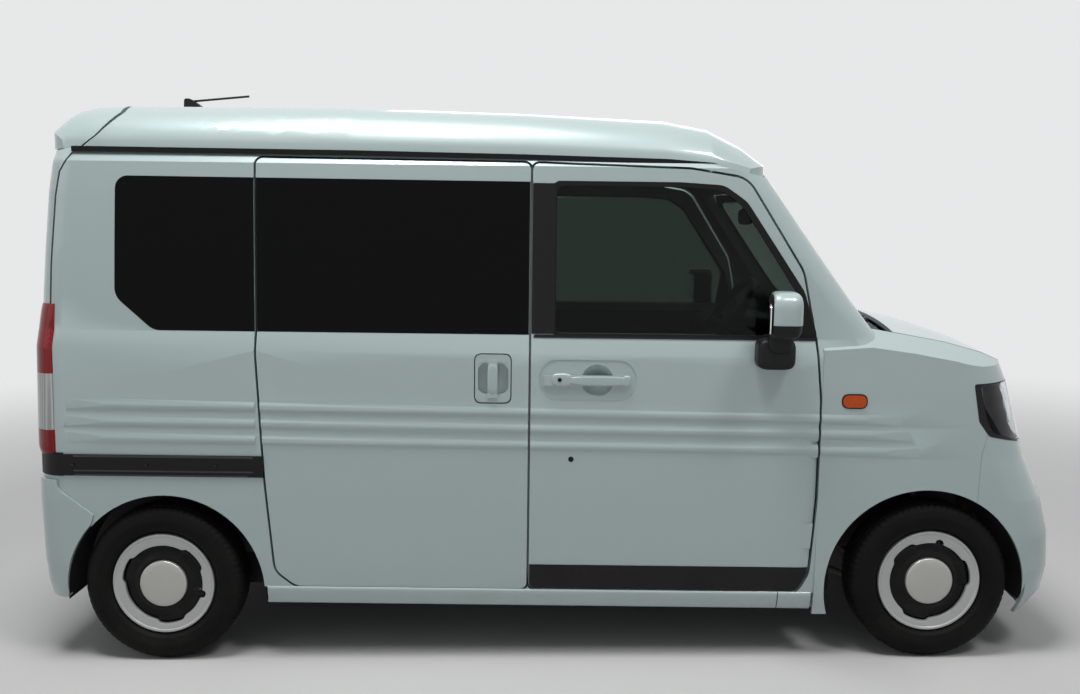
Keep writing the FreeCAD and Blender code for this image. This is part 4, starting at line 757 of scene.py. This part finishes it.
mirrorShape = {
    # size, centre, squareness of section and ends, rows, columns
    "head": ((107, 152, 146), (689.5, -850, 1162), 4.2, 3.4, 44, 64),
    "cap": ((109.6, 154.6, 148.6), (689.5, -850, 1162), 4.2, 3.4, 90, 120),
    "foot": ((120, 82, 98), (690, -763, 1033), 4.4, 6, 36, 56),
    "neck": ((80, 44, 84), (698, -797, 1080), 3.6, 4, 30, 48),
    "capLow": (647.0, -2000.0, 1136.0),  # the cap is cut flat behind and below
    "slope": 0.13, "outer": -926.0, "front": 743.0, "deep": 107.0,
    "glassX": 636.4, "glass": [(-912, 1106, 22), (-790, 1106, 18), (-788, 1206, 26), (-910, 1202, 34)],
}
m = mirrorShape


def turnedIn(shape):
    # the rear face turns inwards: x grows with the distance from the outer end, less towards the front
    verts = shape[0].reshape(-1, 3)
    share = np.clip((m["front"] - verts[:, 0]) / m["deep"], 0, 1)
    verts[:, 0] += m["slope"] * (verts[:, 1] - m["outer"]) * share
    return verts, shape[1]


def onMirror(p, q, lift):
    # upright plane behind the mirror's head, lifted backwards
    return np.stack([m["glassX"] - lift, p, q], -1)


head = pair("mirrorHousing", turnedIn(cushion(*m["head"])), blackPlastic, doors)
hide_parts("mirror_right")
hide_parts("mirror_left")
capPoints, capFaces = cushion(*m["cap"])
pair("mirrorCap", turnedIn((np.maximum(capPoints, m["capLow"]), capFaces)), paint, doors)
pair("mirrorFoot", cushion(*m["foot"]), blackPlastic, doors)
pair("mirrorNeck", cushion(*m["neck"]), blackPlastic, doors)
pair("mirrorGlass", turnedIn(plate(m["glass"], onMirror, 0.6, 4.0, count=80, edge=0.04)), mirrorFace, doors)
print("mirrors done")


# Slide rails: end caps round the tail corners, small screws and the ridges along them

railShape = {
    "end": (604.0, 680.0), "endTurn": 74,
    "screws": (-1556, -1318, -1094), "screwAt": (-741.5, 641.0),
    "screw": [(0, 0), (5.5, 0), (5.5, -2.2), (4, -3.2), (1.5, -3.4), (1.2, -2.2), (0, -2.2)],
    "from": -1652, "to": -946,
    # bottom, top, lift
    "ridges": ((667, 675, 8.0), (620, 626, 8.0), (607, 612, 7.5)),
}


def railPieces():
    # the end walks round the tail corner: a part of the quarter circle from the side to the tail
    r = railShape
    z = np.linspace(*r["end"], 12)[:, None]
    turn = np.linspace(0, 1, 24)[None, :] * math.radians(r["endTurn"])
    pair("railEnd", walled(onCorner(turn, z, 4.5), onCorner(turn, z, -2.0)), matteBlack)
    y, height = r["screwAt"]
    screws = [revolved(r["screw"], 20, (x, y, height)) for x in r["screws"]]
    pair("railScrews", joined(*screws), blackPlastic)
    ridges = [plate(boxed(r["from"], r["to"], low, high, 2), onSide, lift, lift + 1, count=240, edge=0.3)
              for low, high, lift in r["ridges"]]
    pair("railRidges", joined(*ridges), railLip)


railPieces()
print("rails done")


# Lower body: rounded sill, the fender's foot behind the door gap, the door skin over its hinge, dark wheel
# houses, and the header under the roof's lip

lower = {
    "sill": (-938.0, 846.0), "sillMiddle": 208.0, "sillHalf": 31.0, "sillSwell": 8.0, "seam": (735.6, 738.4),
    # height, front edge of the door
    "doorEdge": ((237.0, 800.0), (300.0, 834.0), (560.0, 851.0)), "gap": 3.9, "fenderEdge": 858.0,
    "hinge": (390.0, 474.0), "hingeFrom": 784.0,
    "header": (1566.0, 1628.0), "headerHalf": 540.0,
    "arch": (-1268.0, 222.0), "archRadius": 323.3, "archFoot": 186.0, "archWall": 1.2,
    "archY": (-721.0, -556.0), "wallY": 546.0,
    # back, front, bottom, top
    "walls": {"rearWheelHouse": (-1125.0, -945.5, 188.0, 480.0),
              "frontWheelHouse": (885.0, 952.0, 186.0, 430.0)},
}


def onWall(x, z, lift):
    # upright plane inside the wheel house, lifted outwards
    return np.stack([x, -(lower["wallY"] + lift), z], -1)


def lowerPieces():
    # the sill bulges as half an ellipse over its height; the others lie on the body's own surfaces
    b = lower
    k = np.linspace(-1, 1, 21)
    bulge = b["sillSwell"] * np.sqrt(1 - k ** 2) + 0.3
    z = b["sillMiddle"] + b["sillHalf"] * k
    pair("sillStrip", slab(*b["sill"], z, onSide, bulge, bulge + 2, 60), paint)
    # thin dark slab across the sill where its two pieces meet: painted shade standing in for the gap between
    # them, borrowing the seal rubber's black
    seam = slab(*b["seam"], z, onSide, bulge + 0.3, bulge + 1, 3)
    pair("sillSeamShade", seam, rubberSeal, slotName="body_paint")
    heights, edge = np.array(b["doorEdge"]).T
    z = np.concatenate([np.linspace(237, 340, 16), np.linspace(350, 560, 12)])
    line = np.convolve(np.pad(np.interp(z, heights, edge), 2, "edge"), np.ones(5) / 5, "valid")
    foot = slab(line + b["gap"], np.maximum(b["fenderEdge"], line + 5), z, onSide, -0.15, 2.0)
    pair("fenderFoot", foot, paint)
    z = np.linspace(*b["hinge"], 10)
    edge = np.interp(z, heights, edge) - b["gap"]
    pair("doorHingeSkin", slab(b["hingeFrom"], edge, z, onSide, 0.2, 1.4), paint, doors)
    z = np.linspace(*b["header"], 8)
    piece("headerSkin", slab(-b["headerHalf"], b["headerHalf"], z, onScreen, 0.5, 2.0, 40), paint)
    cx, cz = b["arch"]
    radius = b["archRadius"]
    turn = np.radians(np.linspace(0, 180, 72))
    ring = np.stack([cx + radius * np.cos(turn), cz + radius * np.sin(turn)], -1)
    ring = np.vstack([[cx + radius, b["archFoot"]], ring, [cx - radius, b["archFoot"]]])
    away = np.stack([ring[:, 0] - cx, np.maximum(ring[:, 1] - cz, 0)], -1)
    outer = ring + b["archWall"] * away / np.hypot(*away.T)[:, None]
    loop = np.stack([ring, ring, outer, outer])
    y = np.array(b["archY"] + b["archY"][::-1])[:, None] + 0 * loop[..., 0]
    pair("rearArchLining", tube(np.stack([loop[..., 0], y, loop[..., 1]], -1)), matteBlack)
    for name, (back, front, low, high) in b["walls"].items():
        pair(name, slab(back, front, np.linspace(low, high, 6), onWall, 0.0, 1.5), matteBlack)


lowerPieces()
print("lower body done")


# Glass borders: black printed bands on windscreen and tailgate glass. Outline points are (y, z, radius)

borders = {
    "screen": ([(-621, 1093, 40), (621, 1093, 40), (574, 1561, 40), (-574, 1561, 40)],
               [(-588, 1138, 46), (588, 1138, 46), (546, 1530, 40), (-546, 1530, 40)]),
    "tail": ([(-539, 1151, 60), (539, 1151, 60), (499, 1559, 60), (-499, 1559, 60)],
             [(-502, 1186, 46), (502, 1186, 46), (466, 1526, 46), (-466, 1526, 46)]),
}
piece("screenBorder", frameBand(*borders["screen"], onScreen, -1.4, 0.5), glossBlack)
piece("tailBorder", frameBand(*borders["tail"], onTail, -3.4, 0.5), glossBlack, "tailgate_body")


# Wipers: arm, blade and spindle

wipers = {
    # pivot, elbow, the blade's two ends
    "wiperRight": ((-430, 1112), (-60, 1122), (-330, 1114, 170, 1130)),
    "wiperLeft": ((150, 1112), (430, 1128), (150, 1118, 560, 1136)),
    "tailWiper": ((60, 1122), (-170, 1142), (-330, 1138, 40, 1150)),
}


def wiper(name, surface, body):
    # arm rises from its spindle and comes down on the blade; the blade keeps a steady height over the glass
    (y0, z0), (y1, z1), blade = wipers[name]
    t = np.linspace(0, 1, 24)
    arm = surface(y0 + (y1 - y0) * t, z0 + (z1 - z0) * t, 12 + 7 * np.sin(math.pi * t))
    y = np.linspace(blade[0], blade[2], 40)
    z = np.linspace(blade[1], blade[3], 40)
    away = (1, 0, 0.2)
    shape = joined(swept(arm, np.interp(t, [0, 0.2, 1], [9, 7, 4.5]), 12, up=away, squash=0.55),
                   swept(surface(y, z, 9), 3.6, 10, up=away),
                   swept(surface(y, z - 3, 3.5), 1.8, 8, up=away),
                   cushion((26, 26, 22), surface(y0, z0, 8), rows=20, cols=28))
    piece(name, shape, blackPlastic, body)


wiper("wiperRight", onScreen, "body_shell")
wiper("wiperLeft", onScreen, "body_shell")
wiper("tailWiper", onTail, "tailgate_body")
print("glass trim done")


# Front: blank plate and fog lamps

frontShape = {
    "plate": boxed(-165, 165, 586, 694, 8),
    "fog": (1660.0, -560.0, 330.0), "fogRadius": 42.0,
    # how much smaller than the lamp's radius, place along x
    "bezel": [(-3, -22), (-4, 6), (-1, 10), (4, 6), (8, -6), (8, -22)],
    "bowl": [(9, -6), (14, -16), (26, -26), (42, -30)],
    "lens": [(8.5, -4), (14, 1), (26, 4), (42, 5)],
}


def fogPart(part, count):
    # one round part of the fog lamp, turned about the van's length
    profile = [(frontShape["fogRadius"] - less, x) for less, x in frontShape[part]]
    return revolved(profile, count, frontShape["fog"], axis="x")


piece("frontPlate", plate(frontShape["plate"], onNose, 7.0, 5.0, count=80, edge=0.03), plateWhite)
pair("fogBezel", fogPart("bezel", 64), blackPlastic)
pair("fogBowl", fogPart("bowl", 48), brightMetal)
pair("fogLens", fogPart("lens", 48), lampClear)


# Tail: blank plate, stop lamp, reflectors, lamp lenses at the corners

tailShape = {
    "plate": boxed(-165, 165, 812, 976, 8),
    "stop": boxed(-130, 130, 1586, 1604, 8),
    "reflector": boxed(-655, -575, 436, 474, 8), "bumper": 9.5,
}


def onBumper(y, z, lift):
    # the bumper stands a little proud of the tail
    return onTail(y, z, lift + tailShape["bumper"])


lampShape = {"low": 664.0, "high": 1158.0, "start": 17.0, "inner": 63.0, "swell": 11.0, "rise": 1.2}


def tailLampLens():
    # outer lens: an arc round the tail corner, then straight in over the tail; it swells away from its edges
    t = lampShape
    z = np.linspace(t["low"] - 1, t["high"] + 1, 60)[:, None]
    w, tail, front = rowsAt("cabin", z)
    r = bodyLines["tailRound"]
    arc = r * math.radians(90 - t["start"])
    run = np.linspace(0, arc + t["inner"], 48)[None, :]
    u = run / (arc + t["inner"])
    ends = np.clip((z - t["low"]) / 30, 0, 1) ** 0.5 * np.clip((t["high"] - z) / 90, 0, 1) ** 0.6
    lift = t["rise"] + t["swell"] * (1 - np.abs(2 * u - 1) ** 5) ** 0.5 * ends
    turn = np.radians(t["start"]) + np.clip(run, 0, arc) / r
    over = np.clip(run - arc, 0, None)
    bow = bodyLines["tailBow"] * np.clip(over / (w - r), 0, 1)
    shift = np.stack([-bow, over + 0 * bow, 0 * bow], -1)
    pair("tailLampLens", walled(onCorner(turn, z, lift) + shift, onCorner(turn, z, -2.0) + shift), tailLens)


blank = plate(tailShape["plate"], onTail, 6.0, 5.0, count=80, edge=0.03)
stop = plate(tailShape["stop"], onTail, 3.0, 4.0, count=60, edge=0.1)
piece("tailPlate", blank, plateWhite, "tailgate_body")
piece("stopLamp", stop, tailLens, "tailgate_body")
pair("reflector", plate(tailShape["reflector"], onBumper, 1.5, 4.0, count=60, edge=0.1), tailLens)
tailLampLens()
marker = {"outer": boxed(917, 1000, 854, 902, 24),
          "inner": boxed(922, 995, 859, 897, 19)}
pair("markerRim", frameBand(marker["outer"], marker["inner"], onNoseSide, 2.2, 4.0), matteBlack)
print("plates and small lamps done")


# Seats: padded cushions with sewn channels

seatPlan = {
    "y": 330,
    # cushion's values in its own order; y of the centre is a share of the seat's place
    "pads": {
        "frontSeat": ((462, 470, 124), (172, 1, 707), 4.2, 6, 56, 72, 10, (0.56,), 7),
        "frontBack": ((96, 440, 500), (-112, 1, 948), 4.0, 5, 56, 72, 10, (0.56,), 6, "x", -0.28),
        "frontRest": ((72, 236, 150), (-192, 1, 1316), 3.6, 4, 40, 56, 5, (), 5, "x", -0.22),
        "rearSeat": ((420, 572, 118), (-690, 0.885, 646), 4.2, 7, 56, 72, 9, (0.5,), 6),
        "rearBack": ((92, 560, 452), (-958, 0.885, 868), 4.0, 6, 56, 72, 9, (0.5,), 6, "x", -0.28),
        "rearRest": ((70, 232, 130), (-1032, 0.909, 1205), 3.6, 4, 40, 56, 4, (), 5, "x", -0.2),
    },
    # x, y of the two seats, bottom, top
    "posts": ((-176, (-330, 330), 1180, 1270), (-1018, (-300, 300), 1080, 1160)),
    "backShell": ((58, 430, 470), (-150, 940)), "seatShell": ((430, 440, 60), (170, 668)),
}


def seatSet():
    # pads on both hands, two leaning posts under each head restraint, plastic shells behind the front seats
    s = seatPlan
    for hand, y in (("Right", -s["y"]), ("Left", s["y"])):
        for name, (size, (x, share, z), *drawn) in s["pads"].items():
            obj = piece(name + hand, cushion(size, (x, y * share, z), *drawn), seatCloth, smooth=60)
    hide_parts("front_seats")
    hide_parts("rear_seat")
    posts = []
    for x, ys, z0, z1 in s["posts"]:
        for y in ys:
            for k in (y - 50, y + 50):
                path = [(x + 8, k, z0), (x, k, (z0 + z1) / 2), (x - 8, k, z1)]
                posts.append(swept(path, 6, 10, up=(0, 1, 0)))
    piece("restPosts", joined(*posts), brightMetal, slotName="dark_steel")
    shells = []
    for y in (-s["y"], s["y"]):
        for part, lean in (("backShell", -0.28), ("seatShell", 0)):
            size, (x, z) = s[part]
            shells.append(cushion(size, (x, y, z), square=4.5, ends=8, lean=lean))
    piece("seatShells", joined(*shells), cabinPlastic)


seatSet()
print("seats done")


# Cabin: instrument hood, screen, selector, inside mirror, vents, door cards

cabinParts = {
    # finish, size, centre, squareness of section and ends
    "instrumentHood": (cabinPlastic, (150, 330, 70), (690, -330, 1092), 3.4, 5),
    "dashScreen": (glossBlack, (16, 230, 130), (622, -40, 1040), 8, 14),
    "gearSelector": (cabinPlastic, (60, 60, 130), (640, -60, 900), 3, 3),
    "insideMirror": (blackPlastic, (26, 230, 62), (730, 0, 1468), 3.4, 4),
}
cabinTrim = {
    "stem": [(742, 0, 1480), (768, 0, 1500), (790, 0, 1506)],
    "vents": (-560, -170, 90, 560), "ventAt": (612, 975), "blade": (10, 92, 3), "blades": 5, "pitch": 12,
    "card": [(0, 420, 40), (700, 420, 60), (740, 900, 60), (720, 1050, 30), (0, 1050, 30)], "cardIn": -54,
    "armRest": ((330, 46, 60), (230, -660, 880), 3.4, 5),
}


def onCard(x, z, lift):
    # the door's inner face, at a fixed depth behind its skin, lifted inwards
    return onSide(x, z, cabinTrim["cardIn"] - lift)


def cabinPieces():
    # rounded blocks, a bent stem, rows of thin blades, and a padded plate on each door
    c = cabinTrim
    for name, (material, *drawn) in cabinParts.items():
        piece(name, cushion(*drawn), material)
    piece("insideMirrorStem", swept(smoothPath(c["stem"], 16), 8, 14, up=(0, 1, 0)), blackPlastic)
    x, z = c["ventAt"]
    vents = [cushion(c["blade"], (x, y, z + c["pitch"] * k), square=3, ends=10, rows=12, cols=16)
             for y in c["vents"] for k in range(c["blades"])]
    piece("dashVents", joined(*vents), glossBlack)
    pair("doorCard", plate(c["card"], onCard, 6, 4, count=120, dome=4), cabinPlastic, doors)
    pair("armRest", cushion(*c["armRest"]), cabinPlastic, doors)


cabinPieces()
print("cabin done")


# Lamps at the front: dark bowl, clear lens and round light, on the nose's own surface

headlamp = {
    "inner": 373.0, "rows": (748.0, 939.0),
    # height, x of the side edge
    "edge": [(747, 1515), (778, 1412), (819, 1387), (921, 1367), (940, 1361)],
    "wall": (0.6, -2.4), "bowl": 46.0, "margin": 1.5, "sideFrom": 0.74, "ribs": 1.6,
    "light": (-500.0, 846.0), "radius": 70.0, "behind": 12.0,
    # how much smaller than the light's radius, distance behind its face
    "ring": [(0, 22), (-3, 10), (-3, 2), (1, 0), (6, 2), (9, 12), (9, 22)],
    "reflector": [(9, 12), (18, 20), (34, 30), (40, 33), (70, 33)],
    "projector": (30, 20, 32),
    "turn": boxed(-668, -612, 800, 900, 10), "turnIn": -14,
    "surround": [(1340, 938, 8), (1475, 943, 0), (1520, 742, 0), (1398, 768, 24), (1362, 816, 24)],
    "mouth": [(1362, 934, 6), (1478, 939, 0), (1518, 748, 0), (1413, 780, 20), (1388, 820, 20)],
}


def lampGrid(shrink=0.0, rows=40, cols=90):
    # rows run up the lamp, columns from the grille round the corner to the side edge
    h = headlamp
    z = np.linspace(h["rows"][0] + shrink, h["rows"][1] - shrink, rows)[:, None]
    heights, edges = np.array(h["edge"], float).T
    w, front = rowsAt("nose", z)
    r = bodyLines["noseRound"]
    stop = (w - r) + r * math.pi / 2 + (front - r - np.interp(z, heights, edges))
    a = np.linspace(0, 1, cols)[None, :]
    b = np.linspace(0, 1, rows)[:, None]
    run = (h["inner"] + shrink) * (1 - a) + (stop - shrink) * a
    return run, z + 0 * a, a, b


def nearEdge(u, start, stop):
    # 0 at both ends of 0 to 1, rising to 1 within start and stop
    return np.clip(u / start, 0, 1) * np.clip((1 - u) / stop, 0, 1)


def onTurnLamp(p, q, lift):
    # behind the lens, round the nose's corner
    return nosePlan(-p, q, headlamp["turnIn"] + lift)


def onFender(x, z, lift):
    # drawn on the side and carried round the nose's corner
    w, front = rowsAt("nose", z)
    r = bodyLines["noseRound"]
    past = np.clip((x - front + r) / r, 0, 0.98)
    return np.stack([x, -(w - r + (r + lift) * np.sqrt(1 - past ** 2)), z], -1)


def headlampPieces():
    # the bowl lies behind the lens along the nose's normal, deep round the light and shallow along the side
    h = headlamp
    run, z, a, b = lampGrid()
    outer, inner = (nosePlan(run, z, lift) for lift in h["wall"])
    lens = pair("headlampLens", walled(outer, inner), lampClear)
    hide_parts("headlamps")
    run, z, a, b = lampGrid(h["margin"])
    fade = nearEdge(a, 0.05, 0.06) * nearEdge(b, 0.10, 0.10)
    deep = 4 + h["bowl"] * np.sqrt(fade) * (0.18 + 0.82 * np.clip((h["sideFrom"] - a) / 0.14, 0, 1))
    ribs = h["ribs"] * np.sin(z / 9.0) * (a > 0.72)
    bowl = nosePlan(run, z, 0)
    inwards = nosePlan(run, z, -10) - bowl
    inwards /= np.linalg.norm(inwards, axis=-1)[..., None] + 1e-9
    bowl = bowl + inwards * (deep + ribs)[..., None]
    pair("headlampBowl", (bowl, gridFaces(*bowl.shape[:2])), bowlBlack, smooth=50)
    y, height = h["light"]
    face = float(onNose(y, height, 0)[0]) - h["behind"]
    centre = (0, y, height)

    def turned(part, count):
        profile = [(h["radius"] - less, face - back) for less, back in h[part]]
        return revolved(profile, count, centre, axis="x")
    pair("lampRing", turned("ring", 96), lampWhite)
    pair("lampReflector", turned("reflector", 72), brightMetal)
    wide, high, back = h["projector"]
    dome = [(wide * math.cos(q), face - back + high * math.sin(q)) for q in np.linspace(0, math.pi / 2, 10)]
    pair("lampProjector", revolved(dome, 48, centre, axis="x"), lampClear)
    pair("turnLamp", plate(h["turn"], onTurnLamp, 0, 6, count=60, edge=0.15), lampWhite)
    surround = frameBand(h["surround"], h["mouth"], onFender, 0.9, 2.5)
    pair("lampSurround", surround, glossBlack, slotName="lamp_lens")


headlampPieces()
print("headlamps done")


# Camera, floor and light

camera = linked("camera", bpy.data.cameras.new("camera"))
camera.data.sensor_width = 36.0
camera.data.lens = 1049.0 / 1080 * 36
camera.location = (-0.0355, -4.054, 1.436)
camera.rotation_euler = (math.radians(90 - 6.76), math.radians(0.20), 0)
bpy.context.scene.camera = camera

studioPlan = {
    "floorHalf": 60, "pale": (0.80, 0.805, 0.81), "fade": (2.2, 7.5),
    "sky": (0.70, 0.72, 0.74), "skyLight": 0.28, "skySeen": 0.72,
    # place, aim, size, watts
    "lamps": {"keyLight": ((3.0, -3.8, 7.0), (0, 0, 0.8), 1.6, 150),
              "fillLight": ((-6.5, -4.0, 4.0), (0, 0, 0.8), 5.0, 40),
              "topLight": ((-1.0, -1.7, 7.0), (0, 0, 0.6), 2.4, 370),
              "backLight": ((1.0, 7.0, 4.0), (0, 0, 0.8), 5.0, 110)},
}


def seenRay(tree):
    # 1 for camera, glossy and transmission rays, 0 for the light that a surface gathers
    path = tree.nodes.new("ShaderNodeLightPath").outputs
    both = maths(tree, "ADD", path["Is Camera Ray"], path["Is Glossy Ray"], True)
    return maths(tree, "ADD", both, path["Is Transmission Ray"], True)


def studio():
    # floor that runs out into the backdrop's own tone a few metres away, so that no horizon shows
    p = studioPlan
    half = p["floorHalf"]
    floorMesh = bpy.data.meshes.new("floor")
    corners = [(-half, -half, 0), (half, -half, 0), (half, half, 0), (-half, half, 0)]
    floorMesh.from_pydata(corners, [], [(0, 1, 2, 3)])
    floor = linked("floor", floorMesh)
    ground = finish("floorMatte", None, (0.50, 0.50, 0.495), 0.85, tone=(0.8, 0.05), bump=(30.0, 0.05, 0.002))
    tree = ground.node_tree
    place = tree.nodes["Texture Coordinate"].outputs["Object"]
    away = node(tree, "VectorMath", {0: place}, operation="LENGTH")
    edge = node(tree, "MapRange", {"From Min": p["fade"][0], "From Max": p["fade"][1],
                                   "Value": away.outputs["Value"]}, interpolation_type="SMOOTHSTEP")
    glow = node(tree, "Emission", {"Color": p["pale"]})
    far = maths(tree, "MULTIPLY", edge.outputs["Result"], seenRay(tree))
    near = tree.nodes["Principled BSDF"]
    blend = node(tree, "MixShader", {0: far, 1: near.outputs[0], 2: glow.outputs[0]})
    tree.links.new(blend.outputs[0], tree.nodes["Material Output"].inputs["Surface"])
    floorMesh.materials.append(ground)
    for name, (place, aim, size, power) in p["lamps"].items():
        lamp = bpy.data.lights.new(name, "AREA")
        lamp.shape = "SQUARE"
        lamp.size = size
        lamp.energy = power
        obj = linked(name, lamp)
        obj.location = place
        obj.rotation_euler = (Vector(aim) - Vector(place)).to_track_quat("-Z", "Y").to_euler()
    world = bpy.data.worlds.new("sky")
    bpy.context.scene.world = world
    world.use_nodes = True
    tree = world.node_tree
    back = tree.nodes["Background"]
    seen = seenRay(tree)
    tree.links.new(mixed(tree, seen, p["sky"], p["pale"]), back.inputs["Color"])
    strength = maths(tree, "ADD", p["skyLight"], maths(tree, "MULTIPLY", seen, p["skySeen"]))
    tree.links.new(strength, back.inputs["Strength"])
    bpy.context.scene.view_settings.view_transform = "Standard"


studio()
print("studio done")
